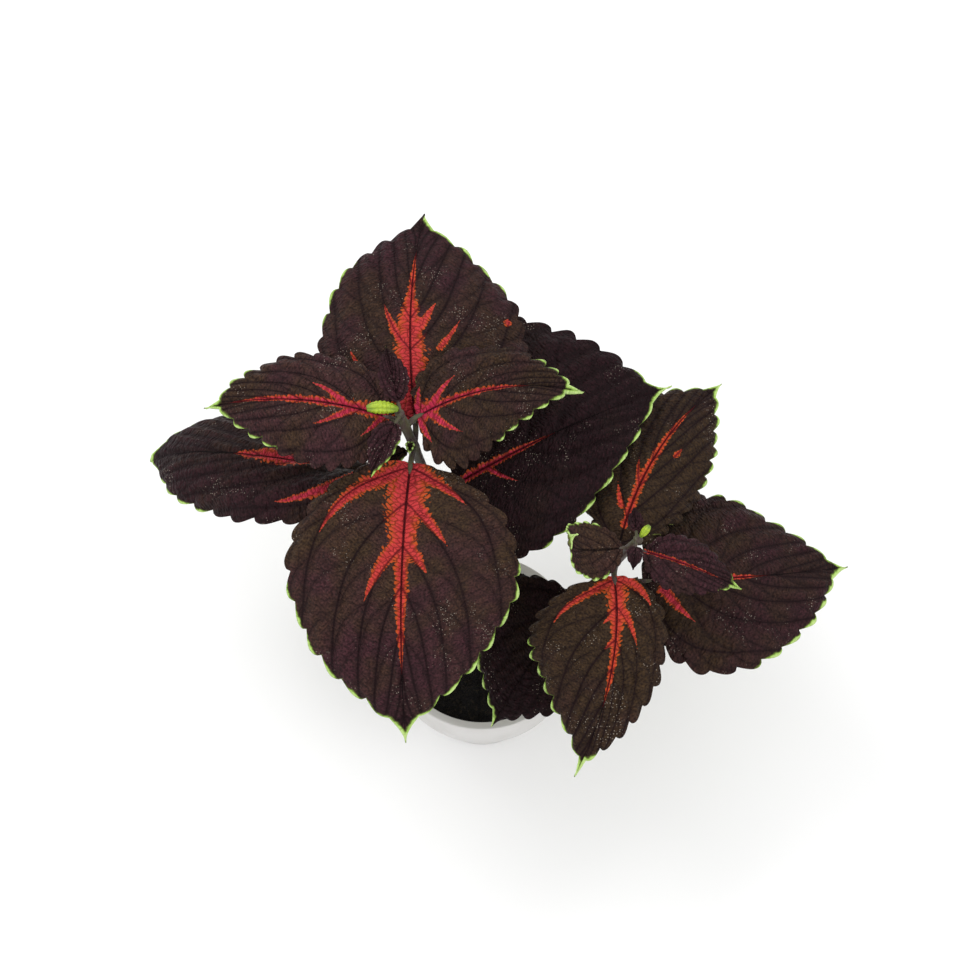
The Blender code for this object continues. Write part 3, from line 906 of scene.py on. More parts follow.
LEAVES = (
    LeafShape(
        "leaf_main_upper_west", Shoot.MAIN, 0.96, 161, 0.009, 30, 0.104, 0.064, 4, -32, swing=2,
        sweep=19, fold=10, curl=-25, skew=-0.11, slant=-0.2, base_power=0.5, tip_power=0.85,
        marks=Markings(
            streaks=(Streak(MIDDLE, 0, 0.03, 0.86, 0.0050, 3.0), Streak(MIDDLE, 0, 0.10, 0.38, 0.0080),
                     Streak(RIGHT, 0.22, 0.22, 0.42, 0.0048), Streak(LEFT, 0.18, 0.18, 0.42, 0.0044),
                     Streak(LEFT, 0.03, 0.03, 0.14, 0.0040)),
            lime=(LimeEdge(LEFT, 0.60, 1.0, 0.0013), LimeEdge(RIGHT, 0.72, 1.0, 0.0013)),
            pinkness=0.85, base_tone=0.55, tip_tone=0.45, shade=1.1, wrinkle=1.5)),
    LeafShape(
        "leaf_main_upper_east", Shoot.MAIN, 0.96, 30, 0.008, 18, 0.090, 0.063, 8, -25, swing=4,
        sweep=-37, fold=10, curl=-25, skew=0.12, slant=0.3, base_power=0.32, tip_power=0.9,
        marks=Markings(
            streaks=(Streak(MIDDLE, 0, 0.0, 0.68, 0.0046, 2.5), Streak(MIDDLE, 0, 0.0, 0.20, 0.0120),
                     Streak(RIGHT, 0.06, 0.06, 0.28, 0.0054), Streak(LEFT, 0.08, 0.08, 0.26, 0.0050),
                     Streak(LEFT, 0.0, 0.0, 0.05, 0.0050), Streak(RIGHT, 0.0, 0.0, 0.05, 0.0050)),
            lime=(LimeEdge(RIGHT, 0.50, 1.0, 0.0015), LimeEdge(LEFT, 0.66, 1.0, 0.0013)),
            pinkness=0.85, base_tone=0.5, tip_tone=0.35, shade=0.95, wrinkle=1.8)),
    LeafShape(
        "leaf_main_middle_north", Shoot.MAIN, 0.88, 97, 0.012, 30, 0.130, 0.110, 15, -30, swing=-11,
        sweep=-17, curl=-20, skew=0.13, base_power=0.5, tip_power=0.68, beak=0.12,
        marks=Markings(
            streaks=(Streak(MIDDLE, 0, 0.0, 0.64, 0.0180, 2.2), Streak(MIDDLE, 0, 0.0, 0.79, 0.0062, 3.0),
                     Streak(LEFT, 0.31, 0.31, 0.53, 0.0078), Streak(RIGHT, 0.37, 0.37, 0.54, 0.0078),
                     Streak(RIGHT, 0.20, 0.31, 0.45, 0.0034), Streak(LEFT, 0.05, 0.17, 0.34, 0.0042),
                     Streak(RIGHT, 0.02, 0.45, 0.51, 0.0046)),
            lime=(LimeEdge(RIGHT, 0.62, 1.0, 0.0016), LimeEdge(LEFT, 0.45, 0.70, 0.0012)),
            pinkness=0.4, base_tone=0.25, tip_tone=0.9, shade=0.85)),
    LeafShape(
        "leaf_main_middle_south", Shoot.MAIN, 0.88, 264, 0.014, 25, 0.145, 0.120, 0, -40,
        sweep=11, curl=-20, base_power=0.55, tip_power=0.82,
        marks=Markings(
            streaks=(Streak(MIDDLE, 0, 0.0, 0.43, 0.0190, 2.6), Streak(MIDDLE, 0, 0.0, 0.76, 0.0078, 3.0),
                     Streak(RIGHT, 0.02, 0.02, 0.27, 0.0120), Streak(LEFT, 0.02, 0.02, 0.15, 0.0120),
                     Streak(LEFT, 0.13, 0.13, 0.31, 0.0098), Streak(RIGHT, 0.29, 0.29, 0.51, 0.0094),
                     Streak(LEFT, 0.29, 0.29, 0.42, 0.0094)),
            lime=(LimeEdge(RIGHT, 0.44, 0.86, 0.0013), LimeEdge(RIGHT, 0.88, 1.0, 0.0014),
                  LimeEdge(LEFT, 0.34, 0.86, 0.0015), LimeEdge(LEFT, 0.88, 1.0, 0.0014)),
            pinkness=0.35, base_tone=0.15, tip_tone=0.9)),
    LeafShape(
        "leaf_main_lower_west", Shoot.MAIN, 0.70, 170, 0.026, 25, 0.152, 0.084, 0, -60,
        sweep=-8, roll=-48, twist=62, curl=-50, skew=0.06, base_power=0.3, tip_power=0.5, droop_power=2.0,
        marks=Markings(
            streaks=(Streak(MIDDLE, 0, 0.30, 0.56, 0.0110, 2.5), Streak(LEFT, 0.04, 0.06, 0.36, 0.0062, 3.0)),
            lime=(LimeEdge(RIGHT, 0.80, 1.0, 0.0016), LimeEdge(LEFT, 0.62, 1.0, 0.0014)),
            pinkness=0.75, base_tone=0.5, tip_tone=0.9, shade=0.6)),
    LeafShape(
        "leaf_main_lower_east", Shoot.MAIN, 0.70, 26, 0.014, 25, 0.130, 0.130, 16, -28, swing=-21,
        curl=-5, skew=-0.17, slant=0.25, base_power=0.4, tip_power=0.92,
        marks=Markings(
            streaks=(Streak(MIDDLE, 0, 0.0, 0.46, 0.0050, 2.5), Streak(RIGHT, 0.14, 0.14, 0.28, 0.0034),
                     Streak(RIGHT, 0.02, 0.04, 0.12, 0.0044)),
            lime=(LimeEdge(RIGHT, 0.30, 1.0, 0.0013), LimeEdge(LEFT, 0.86, 1.0, 0.0013),
                  LimeEdge(LEFT, 0.22, 0.40, 0.0006)),
            pinkness=0.9, base_tone=0.85, tip_tone=1.0, shade=0.36)),
    LeafShape(
        "leaf_side_upper_east", Shoot.SIDE, 0.95, -20, 0.008, 15, 0.054, 0.032, 8, -30,
        fold=10, curl=-30, teeth=10, tooth_depth=0.0015, stalk_radius=0.001,
        marks=Markings(
            streaks=(Streak(MIDDLE, 0, 0.0, 0.80, 0.0024, 3.0),),
            lime=(LimeEdge(RIGHT, 0.80, 1.0, 0.0008), LimeEdge(LEFT, 0.86, 1.0, 0.0008)),
            pinkness=1.0, base_tone=0.8, tip_tone=0.9, shade=1.0, wrinkle=2.0)),
    LeafShape(
        "leaf_side_upper_west", Shoot.SIDE, 0.95, 188, 0.004, 25, 0.046, 0.032, 0, 150,
        teeth=11, tooth_depth=0.0013, droop_power=2.0, stalk_radius=0.001,
        marks=Markings(
            lime=(LimeEdge(RIGHT, 0.2, 1.0, 0.0014), LimeEdge(LEFT, 0.2, 1.0, 0.0014)),
            base_tone=0.5, tip_tone=0.4, shade=1.15)),
    LeafShape(
        "leaf_side_middle_north", Shoot.SIDE, 0.84, 77, 0.008, 25, 0.124, 0.062, 4, -20, swing=-8,
        sweep=-34, curl=-20, skew=-0.02, tip_power=0.75,
        marks=Markings(
            streaks=(Streak(MIDDLE, 0, 0.12, 0.82, 0.0044, 3.0), Streak(LEFT, 0.31, 0.31, 0.46, 0.0040),
                     Streak(LEFT, 0.12, 0.19, 0.31, 0.0030), Streak(RIGHT, 0.31, 0.52, 0.58, 0.0030)),
            lime=(LimeEdge(RIGHT, 0.45, 1.0, 0.0013), LimeEdge(LEFT, 0.80, 1.0, 0.0012)),
            pinkness=0.1, base_tone=-0.1, tip_tone=0.15, shade=0.8)),
    LeafShape(
        "leaf_side_middle_south", Shoot.SIDE, 0.86, 276, 0.012, 25, 0.108, 0.071, 0, -40, swing=-14,
        sweep=-39, curl=-20, skew=0.27, base_power=0.5, tip_power=0.93, beak=0.1,
        marks=Markings(
            streaks=(Streak(MIDDLE, 0, 0.0, 0.40, 0.0100, 2.0), Streak(MIDDLE, 0, 0.0, 0.64, 0.0052, 3.0),
                     Streak(RIGHT, 0.02, 0.02, 0.26, 0.0064), Streak(LEFT, 0.0, 0.0, 0.17, 0.0064),
                     Streak(LEFT, 0.13, 0.13, 0.36, 0.0060), Streak(RIGHT, 0.18, 0.18, 0.25, 0.0056),
                     Streak(RIGHT, 0.31, 0.31, 0.38, 0.0050)),
            lime=(LimeEdge(RIGHT, 0.34, 0.86, 0.0013), LimeEdge(RIGHT, 0.88, 1.0, 0.0012),
                  LimeEdge(LEFT, 0.84, 1.0, 0.0015)),
            pinkness=0.1, base_tone=-0.1, tip_tone=0.3, shade=0.85)),
    LeafShape(
        "leaf_side_lower_east", Shoot.SIDE, 0.70, -1, 0.026, 10, 0.117, 0.105, 5, -30,
        sweep=20, curl=-15, skew=-0.03, base_power=0.45, tip_power=0.88,
        marks=Markings(
            streaks=(Streak(MIDDLE, 0, 0.36, 0.58, 0.0034), Streak(RIGHT, 0.06, 0.09, 0.22, 0.0060)),
            lime=(LimeEdge(RIGHT, 0.45, 1.0, 0.0017), LimeEdge(LEFT, 0.40, 1.0, 0.0011)),
            pinkness=0.6, base_tone=0.3, tip_tone=0.85, shade=0.75)),
    LeafShape(
        "leaf_side_lower_west", Shoot.SIDE, 0.64, 233, 0.006, 20, 0.084, 0.082, 0, -40,
        base_power=0.42, tip_power=0.9,
        marks=Markings(lime=(LimeEdge(RIGHT, 0.4, 1.0, 0.0012),), base_tone=0.7, tip_tone=0.9, shade=0.34)),
)

YOUNG_LEAVES = (
    LeafShape("young_leaves_main", Shoot.MAIN, 1.0, 103, 0.004, 30, 0.030, 0.018, 26, -15, fold=35, teeth=7,
              tooth_depth=0.0008, stalk_radius=0.0009, marks=Markings(base_tone=0.9, tip_tone=1.0, shade=1.1)),
    LeafShape("young_leaves_main", Shoot.MAIN, 1.0, 246, 0.004, 10, 0.031, 0.018, 3, -30, fold=35, teeth=7,
              tooth_depth=0.0008, stalk_radius=0.0009,
              marks=Markings(lime=(LimeEdge(LEFT, 0.3, 1.0, 0.0006),), base_tone=0.9, tip_tone=1.0, shade=1.1)),
    LeafShape("young_leaves_side", Shoot.SIDE, 1.0, 95, 0.002, 30, 0.012, 0.009, 30, -20, fold=25, teeth=4,
              tooth_depth=0.0004, stalk_radius=0.0007, marks=Markings(base_tone=1.0, tip_tone=1.0, shade=1.1)),
    LeafShape("young_leaves_side", Shoot.SIDE, 1.0, 262, 0.003, 20, 0.013, 0.009, 15, -30, fold=25, teeth=4,
              tooth_depth=0.0004, stalk_radius=0.0007, marks=Markings(base_tone=1.0, tip_tone=1.0, shade=1.1)),
)


TINY_LEAVES = (
    LeafShape("tiny_leaf", Shoot.MAIN, 0.87, 200, 0.002, 6, 0.018, 0.010, -4, -20, fold=20, teeth=6,
              tooth_depth=0.0006, stalk_radius=0.0007,
              marks=Markings(lime=(LimeEdge(LEFT, 0.1, 1.0, 0.0009),), shade=0.8)),
    LeafShape("tiny_leaf", Shoot.MAIN, 0.91, 268, 0.002, 40, 0.009, 0.005, 30, -20, fold=30, teeth=4,
              tooth_depth=0.0004, stalk_radius=0.0006,
              marks=Markings(lime=(LimeEdge(LEFT, 0.0, 1.0, 0.0012), LimeEdge(RIGHT, 0.0, 1.0, 0.0012)))),
)


@dataclass
class Stem:
    """One square stem, as a smooth curve from the soil to its crown."""

    shoot: Shoot
    foot: tuple
    bend: tuple
    crown: tuple
    foot_radius: float
    crown_radius: float
    joints: tuple
    rings: int = 90
    sides: int = 24
    flatness: float = 0.12
    joint_swelling: float = 0.22
    joint_length: float = 0.018

    def point(self, share: float) -> np.ndarray:
        """Point at a share of the way up."""
        foot, bend, crown = (np.array(p) for p in (self.foot, self.bend, self.crown))
        return (1 - share) ** 2 * foot + 2 * share * (1 - share) * bend + share**2 * crown

    def radius(self, share: float) -> float:
        """Plain radius at a share of the way up."""
        return self.foot_radius + (self.crown_radius - self.foot_radius) * share

    def crown_run(self) -> np.ndarray:
        """Unit vector along which the stem reaches its crown."""
        return unit(self.point(1.0) - self.point(0.98))

    def build(self, skin: Material) -> Piece:
        """Model the stem with a swelling where each pair of leaves leaves it.

        Args:
            skin: Finish of the stem.

        Returns:
            The finished piece.
        """
        shares = np.linspace(0, 1, self.rings)
        path = np.array([self.point(share) for share in shares])
        swell = sum(np.exp(-(((shares - joint) / self.joint_length) ** 2)) for joint in self.joints)
        radii = np.array([self.radius(share) for share in shares]) * (1 + self.joint_swelling * swell)
        angles = 2 * np.pi * np.arange(self.sides) / self.sides
        section = 1 - self.flatness * np.cos(2 * angles) ** 2
        across = np.cross(path[1] - path[0], [0.0, 1.0, 0.0])
        piece = swept_tube("coleus_stem_" + self.shoot.value, path, radii, section, across)
        piece.data.materials.append(skin)
        bpy.ops.object.shade_smooth()
        return piece


STEMS = {
    Shoot.MAIN: Stem(
        Shoot.MAIN, (-0.006, 0.008, 0.040), (-0.014, 0.036, 0.140), (-0.041, 0.062, 0.230),
        0.0042, 0.0024, (0.50, 0.70, 0.88, 0.96)),
    Shoot.SIDE: Stem(
        Shoot.SIDE, (0.010, 0.000, 0.040), (0.046, -0.002, 0.125), (0.079, 0.006, 0.200),
        0.0036, 0.0020, (0.45, 0.67, 0.85, 0.95)),
}


@dataclass
class Blade:
    """Curved toothed blade of one leaf, with the venation that its finish and its relief follow."""

    shape: LeafShape
    base: np.ndarray
    rows_per_tooth: int = 14
    column_step: float = 0.0009
    margin_steps: int = 600
    midrib_steps: int = 64
    tooth_lean: float = 1.7
    tooth_round: float = 0.62
    tooth_boost: float = 1.15
    tooth_unevenness: float = 0.28
    tooth_zone: float = 0.35
    tooth_start: float = 8.0
    tooth_end: float = 6.0
    margin_look: float = 0.01
    beak_power: int = 16
    vein_bend: float = 1.9
    vein_even: float = 0.12
    thickness: float = 0.0006
    full_size: float = 0.13
    vein_starts: tuple = (0.015, 0.15, 0.31, 0.45, 0.60, 0.74, 0.86)
    vein_reach: float = 0.80
    vein_narrowing: float = 1.6
    vein_spread: float = 0.19
    vein_steps: int = 40
    streak_steps: int = 30
    branch_length: float = 0.17
    branch_steps: int = 14
    splash_boost: float = 1.18
    outside: float = -2.0
    off_rim: float = -0.02
    quilt_height: float = 0.0017
    quilt_width: float = 0.0042
    branch_height: float = 0.0005
    branch_width: float = 0.0022
    groove_depth: float = 0.0010
    groove_width: float = 0.0016
    wave_height: float = 0.0012
    wave_count: float = 3.0
    edge_calm: float = 0.85
    edge_drop: float = 0.315
    weave_bow: float = 0.004
    weave_lean: float = 0.9
    weave_curve: float = 0.45
    weave_turn: tuple = (0.77, 0.64)

    @property
    def scale(self) -> float:
        """Size of this blade against a full-grown one."""
        return self.shape.length / self.full_size

    def frames(self) -> list[np.ndarray]:
        """Points, tangents, right-hand vectors and normals along the midrib, at even steps.

        Returns:
            Four arrays with a row for each step.
        """
        shape = self.shape
        point = self.base.copy()
        rows = []
        for index in range(self.midrib_steps + 1):
            share = index / self.midrib_steps
            azimuth = math.radians(shape.azimuth + shape.sweep * share)
            pitch = math.radians(shape.pitch + shape.droop * share**shape.droop_power)
            roll = math.radians(shape.roll + shape.twist * share)
            along = heading(azimuth, pitch)
            level = np.array([math.sin(azimuth), -math.cos(azimuth), 0.0])
            upright = np.cross(level, along)
            right = level * math.cos(roll) + upright * math.sin(roll)
            rows.append((point.copy(), along, right, np.cross(right, along)))
            point = point + along * shape.length / self.midrib_steps
        return [np.array(column) for column in zip(*rows)]

    def half_width(self, share: np.ndarray) -> np.ndarray:
        """Width of an even half of the blade at shares of its length.

        Args:
            share: Shares of the blade's length.

        Returns:
            Widths in metres.
        """
        bottom, top = self.shape.base_power, self.shape.tip_power
        widest = bottom / (bottom + top)
        fullest = widest**bottom * (1 - widest) ** top
        share = np.clip(share, 0, 1)
        return self.shape.width / 2 * share**bottom * (1 - share) ** top / fullest

    def outline(self) -> tuple[np.ndarray, np.ndarray, np.ndarray]:
        """Even margin of a half without teeth: distance across, distance along, and length walked.

        Returns:
            Three arrays, the last of them from 0 to 1.
        """
        share = np.linspace(0, 1, self.margin_steps)
        along = np.sin(np.pi / 2 * share) ** 2
        across = self.half_width(along)
        along = (along + self.shape.beak * share**self.beak_power) / (1 + self.shape.beak) * self.shape.length
        lengths = np.concatenate([[0], np.cumsum(np.hypot(np.diff(across), np.diff(along)))])
        return across, along, lengths / lengths[-1]

    def margin(self, walked: np.ndarray, toothed: float) -> tuple[np.ndarray, np.ndarray, np.ndarray]:
        """Margin at shares of its own length.

        Args:
            walked: Shares of the margin's length, from base to tip.
            toothed: Depth of the teeth as a share of their full depth.

        Returns:
            Distances across and along, and the place on the midrib from which each row of the mesh runs.
        """
        across, along, lengths = self.outline()
        x, y = np.interp(walked, lengths, across), np.interp(walked, lengths, along)
        ahead = np.clip(walked + self.margin_look, 0, 1)
        behind = np.clip(walked - self.margin_look, 0, 1)
        run_x = np.interp(ahead, lengths, across) - np.interp(behind, lengths, across)
        run_y = np.interp(ahead, lengths, along) - np.interp(behind, lengths, along)
        run = np.hypot(run_x, run_y)
        fade = np.clip(walked * self.tooth_start, 0, 1) * np.clip((1 - walked) * self.tooth_end, 0, 1)
        phase = np.mod(walked * self.shape.teeth, 1.0) ** self.tooth_lean
        number = np.floor(walked * self.shape.teeth)
        uneven = 1 + self.tooth_unevenness * np.sin(number * 2.4 + self.shape.azimuth)
        depth = self.shape.tooth_depth * self.tooth_boost * toothed * fade * uneven
        tooth = depth * (np.abs(np.sin(np.pi * phase)) ** self.tooth_round - 0.5)
        tooth = np.where((walked <= 0) | (walked >= 1), 0, tooth)
        even = self.vein_even * walked
        vein = self.shape.length * (even + (1 - self.vein_even) * (y / self.shape.length) ** self.vein_bend)
        return x + tooth * run_y / run, y - tooth * run_x / run, vein

    def lattice(self) -> tuple[np.ndarray, np.ndarray, np.ndarray]:
        """Flat mesh of the blade.

        Returns:
            Distances across and along at rows from base to tip and columns from left to right, and the reach of
            each column from the midrib to the margin, negative on the left.
        """
        rows = self.shape.teeth * self.rows_per_tooth
        columns = max(6, round(self.shape.width / 2 / self.column_step))
        walked = np.linspace(0, 1, rows + 1)
        reach = np.arange(-columns, columns + 1) / columns
        plain_x, plain_y, vein = self.margin(walked, 0.0)
        full_x, full_y, _ = self.margin(walked, 1.0)
        zone = smooth_step(np.abs(reach), 1 - self.tooth_zone, 1.0)[None, :]
        x = (plain_x[:, None] * (1 - zone) + full_x[:, None] * zone) * np.abs(reach)
        y = plain_y[:, None] * (1 - zone) + full_y[:, None] * zone
        y = vein[:, None] + (y - vein[:, None]) * np.abs(reach)
        x = x * np.sign(reach) * (1 + np.sign(reach) * self.shape.skew)
        return x, y, reach

    def vein_end(self, start: float) -> float:
        """Share of the blade's length at which the side vein that leaves the midrib at another one ends."""
        return 1 - 0.4 * (1 - start) ** 5

    def vein_path(self, start: float, end: float = 1.0, first: float = 0.0) -> np.ndarray:
        """Flat path of the side vein that leaves the midrib at a share of the length.

        Args:
            start: Where the vein leaves the midrib.
            end: Where the path stops, as a share of the blade's length.
            first: Where the path starts.

        Returns:
            Points across and along, in metres.
        """
        last = self.vein_end(start)
        along = start + (last - start) * np.linspace(0, 1, self.vein_steps) ** 1.6
        along = along[(along >= min(first, last)) & (along <= max(end, start + 0.01))]
        share = self.vein_share(start, along)
        return np.column_stack([share * self.half_width(along), along * self.shape.length])

    def vein_share(self, start: float, along: np.ndarray) -> np.ndarray:
        """Share of the half width that a side vein has reached at shares of the blade's length.

        Args:
            start: Where the vein leaves the midrib.
            along: Shares of the blade's length, from there on.

        Returns:
            Shares of the half width.
        """
        reach = self.vein_reach * (1 - start) ** self.vein_narrowing
        spread = self.vein_spread * (0.12 + min(start / 0.1, 0.88))
        turn_out = (1 - reach) * np.clip((along - start) / (self.vein_end(start) - start), 0, 1) ** 4
        return reach * (1 - np.exp(-(along - start) / spread)) + turn_out

    def branch_paths(self) -> list[np.ndarray]:
        """Flat paths of the branches that leave the side veins outwards.

        Returns:
            Paths of points across and along, in metres.
        """
        paths = []
        for index, start in enumerate(self.vein_starts):
            last = self.vein_end(start)
            for leave in np.linspace(start + 0.04, last - 0.12, 4 if index < 3 else 2):
                along = np.linspace(leave, min(leave + self.branch_length, 0.99), self.branch_steps)
                own = self.vein_share(start, np.array([leave]))[0]
                outer = self.vein_share(self.vein_starts[index - 1], along) if index else np.ones(len(along))
                rise = 1 - np.exp(-3.2 * (along - leave) / (along[-1] - leave))
                share = own + (outer - own) * np.clip(rise, 0, 1)
                paths.append(np.column_stack([share * self.half_width(along), along * self.shape.length]))
        return paths

    def vein_fields(self, flat: np.ndarray) -> tuple[np.ndarray, np.ndarray]:
        """Distances from flat points, folded on to one half, to the side veins and to their branches.

        Args:
            flat: Flat points across and along, folded on to one half.

        Returns:
            The two distances, in metres.
        """
        main = np.full(len(flat), np.inf)
        for start in self.vein_starts:
            main = np.minimum(main, distance_to_path(flat, self.vein_path(start))[0])
        branch = np.full(len(flat), np.inf)
        for path in self.branch_paths():
            branch = np.minimum(branch, distance_to_path(flat, path)[0])
        return main, branch

    def splash_field(self, flat: np.ndarray) -> np.ndarray:
        """Depth inside the red splash at flat points, as a share of its half width there.

        Args:
            flat: Flat points across and along.

        Returns:
            Depths, 1 in the middle of a streak, 0 at its edge and negative outside it.
        """
        depth = np.full(len(flat), self.outside)
        for streak in self.shape.marks.streaks:
            if streak.side is MIDDLE:
                along = np.linspace(streak.start, streak.end, self.streak_steps) * self.shape.length
                path = np.column_stack([np.zeros(self.streak_steps), along])
            else:
                path = self.vein_path(streak.vein, streak.end, streak.start)
                path[:, 0] *= streak.side.value * (1 + streak.side.value * self.shape.skew)
            away, place = distance_to_path(flat, path)
            half = self.splash_boost * streak.width / 2 * np.clip(1 - place**streak.fullness, 0.03, 1)
            depth = np.maximum(depth, 1 - away / half)
        return np.clip(depth, self.outside, 1.0)

    def rim_field(self, flat: np.ndarray, sides: np.ndarray) -> np.ndarray:
        """Depth inside the lime edge at flat points, negative outside it.

        Args:
            flat: Flat points across and along.
            sides: Which half each of them is on.

        Returns:
            Depths in metres.
        """
        walked = np.linspace(0, 1, self.margin_steps)
        x, y, _ = self.margin(walked, 1.0)
        depth = np.full(len(flat), self.off_rim)
        for side in (LEFT, RIGHT):
            path = np.column_stack([x * side.value * (1 + side.value * self.shape.skew), y])
            away, place = distance_to_path(flat, path)
            along = np.interp(place, walked, y) / self.shape.length
            crest = np.abs(np.sin(np.pi * np.mod(place * self.shape.teeth, 1.0) ** 1.4))
            for lime in self.shape.marks.lime:
                if lime.side is side:
                    ends = smooth_step(along, lime.start - 0.02, lime.start + 0.05)
                    ends = ends * (1 - smooth_step(along, lime.end - 0.02, lime.end + 0.03))
                    beak = smooth_step(along, 0.82, 0.9)
                    width = lime.width * ((1.35 * crest**1.6 - 0.1) * (1 - beak) + 1.1 * beak)
                    reach = np.where(ends > 0.02, width * ends, self.off_rim) - away
                    depth = np.maximum(depth, np.where(sides * side.value >= 0, reach, self.off_rim))
        return depth

    def relief(self, flat: np.ndarray, reach: np.ndarray, main: np.ndarray, branch: np.ndarray) -> np.ndarray:
        """Height of the quilted surface over the smooth blade.

        Args:
            flat: Flat points across and along.
            reach: Their share of the way to the margin, negative on the left.
            main: Their distances to the side veins.
            branch: Their distances to the branches.

        Returns:
            Heights in metres.
        """
        scale = self.scale
        to_rib = np.abs(flat[:, 0])
        near = np.minimum(main, to_rib)
        height = self.quilt_height * scale * (1 - np.exp(-((near / (self.quilt_width * scale)) ** 2)))
        height += self.branch_height * scale * (1 - np.exp(-((branch / (self.branch_width * scale)) ** 2)))
        height -= self.groove_depth * scale * np.exp(-((to_rib / (self.groove_width * scale)) ** 2))
        edge = np.abs(reach)
        height *= 1 - self.edge_calm * smooth_step(edge, 0.82, 1.0)
        height -= self.edge_drop * self.shape.tooth_depth * smooth_step(edge, 0.86, 1.0)
        phase = 2 * np.pi * self.wave_count * flat[:, 1] / self.shape.length
        phase = phase + np.sign(reach) + self.shape.azimuth
        height += self.wave_height * scale * np.sin(phase) * edge**3
        return height

    def placed(self, x: np.ndarray, y: np.ndarray, frames: list[np.ndarray]) -> np.ndarray:
        """Flat points bent on to the leaf's own curve.

        Args:
            x: Distances across.
            y: Distances along.
            frames: The midrib's frames.

        Returns:
            Places in the scene.
        """
        points, tangents, right, normal = frames
        shape = self.shape
        y = y - shape.slant * x
        where = np.clip(y / shape.length, 0, 1) * self.midrib_steps
        low = np.clip(np.floor(where).astype(int), 0, self.midrib_steps - 1)
        part = (where - low)[..., None]
        fold = math.radians(shape.fold)
        turn = math.radians(shape.curl + 0.001) / (shape.width / 2)
        reach = np.abs(x)
        sideways = (np.sin(fold + turn * reach) - math.sin(fold)) / turn * np.sign(x)
        lift = (math.cos(fold) - np.cos(fold + turn * reach)) / turn

        def picked(column: np.ndarray) -> np.ndarray:
            """Column's value at each point."""
            return column[low] + (column[low + 1] - column[low]) * part

        behind = np.minimum(y, 0)[..., None] * tangents[0]
        return picked(points) + picked(right) * sideways[..., None] + picked(normal) * lift[..., None] + behind

    def dress(self, piece: Piece, fields: dict[str, np.ndarray]) -> None:
        """Give the mesh the numbers that its finish reads.

        Args:
            piece: The blade.
            fields: The numbers of each attribute, by its name.
        """
        for name, values in fields.items():
            kind = "FLOAT_VECTOR" if values.ndim == 2 else "FLOAT"
            attribute = piece.data.attributes.new(name, kind, "POINT")
            target = "vector" if values.ndim == 2 else "value"
            attribute.data.foreach_set(target, values.reshape(-1).astype(np.float32))

    def weave(self, flat: np.ndarray, sides: np.ndarray) -> np.ndarray:
        """Coordinates along and across the fine cross veins, in metres, set apart by half and by leaf.

        Args:
            flat: Flat points across and along.
            sides: Which half each of them is on.

        Returns:
            The coordinates, with an offset as the third.
        """
        away = np.abs(flat[:, 0])
        bow = self.weave_bow * self.scale
        lean = self.weave_lean * (away - bow * (1 - np.exp(-away / bow)))
        lean -= self.weave_curve * away**2 / self.shape.width
        offset = self.shape.azimuth * 0.1 + sides * 3.7
        turn_in, turn_down = self.weave_turn
        return np.column_stack([flat[:, 1] + lean, away * turn_in - flat[:, 1] * turn_down, offset])

    def build(self, face: Material, underside: Material) -> Piece:
        """Model the blade as one closed leaf of even thickness.

        Args:
            face: Finish of the upper face.
            underside: Finish of the under face.

        Returns:
            The blade.
        """
        x, y, reach = self.lattice()
        flat = np.column_stack([x.reshape(-1), y.reshape(-1)])
        spread = np.broadcast_to(reach, x.shape).reshape(-1)
        folded = np.column_stack([np.abs(flat[:, 0]) / (1 + np.sign(spread) * self.shape.skew), flat[:, 1]])
        main, branch = self.vein_fields(folded)
        frames = self.frames()
        smooth = self.placed(x, y, frames)
        down, across = np.gradient(smooth, axis=0), np.gradient(smooth, axis=1)
        normal = np.cross(across, down)
        length = np.linalg.norm(normal, axis=2, keepdims=True)
        normal = np.where(length > 1e-12, normal / np.maximum(length, 1e-12), [0.0, 0.0, 1.0])
        height = self.relief(flat, spread, main, branch).reshape(x.shape)
        height[0], height[-1] = 0.0, 0.0
        piece = formed_grid(self.shape.name + "_blade", smooth + normal * height[..., None])
        marks = self.shape.marks
        share = flat[:, 1] / self.shape.length
        sides = np.sign(spread)
        count = len(flat)
        self.dress(piece, {
            "flat": np.column_stack([flat, np.full(count, self.shape.azimuth * 0.01)]),
            "weave": self.weave(flat, sides),
            "vein": np.minimum(main, branch * 1.4 + 0.0002) / max(self.scale, 0.5),
            "rib": np.abs(flat[:, 0]) / max(self.scale, 0.3) * (1 + 1.2 * share),
            "splash": self.splash_field(flat),
            "rim": self.rim_field(flat, sides),
            "pinkness": np.clip(marks.pinkness + 0.5 * (0.25 - share), 0, 1),
            "tone": marks.base_tone + (marks.tip_tone - marks.base_tone) * share,
            "wrinkle": np.full(count, marks.wrinkle),
            # Brightness factor of the blade: painted shade below 1, painted light above 1, with some of its own
            # tone.
            "shade": np.full((count, 3), marks.shade)})
        weld(piece, closed=False)
        finish_with(piece, "TRIANGULATE", quad_method="FIXED")
        piece.data.materials.append(face)
        piece.data.materials.append(underside)
        finish_with(
            piece, "SOLIDIFY", thickness=self.thickness, offset=0.0, material_offset=1, use_even_offset=False)
        bpy.ops.object.shade_smooth()
        return piece


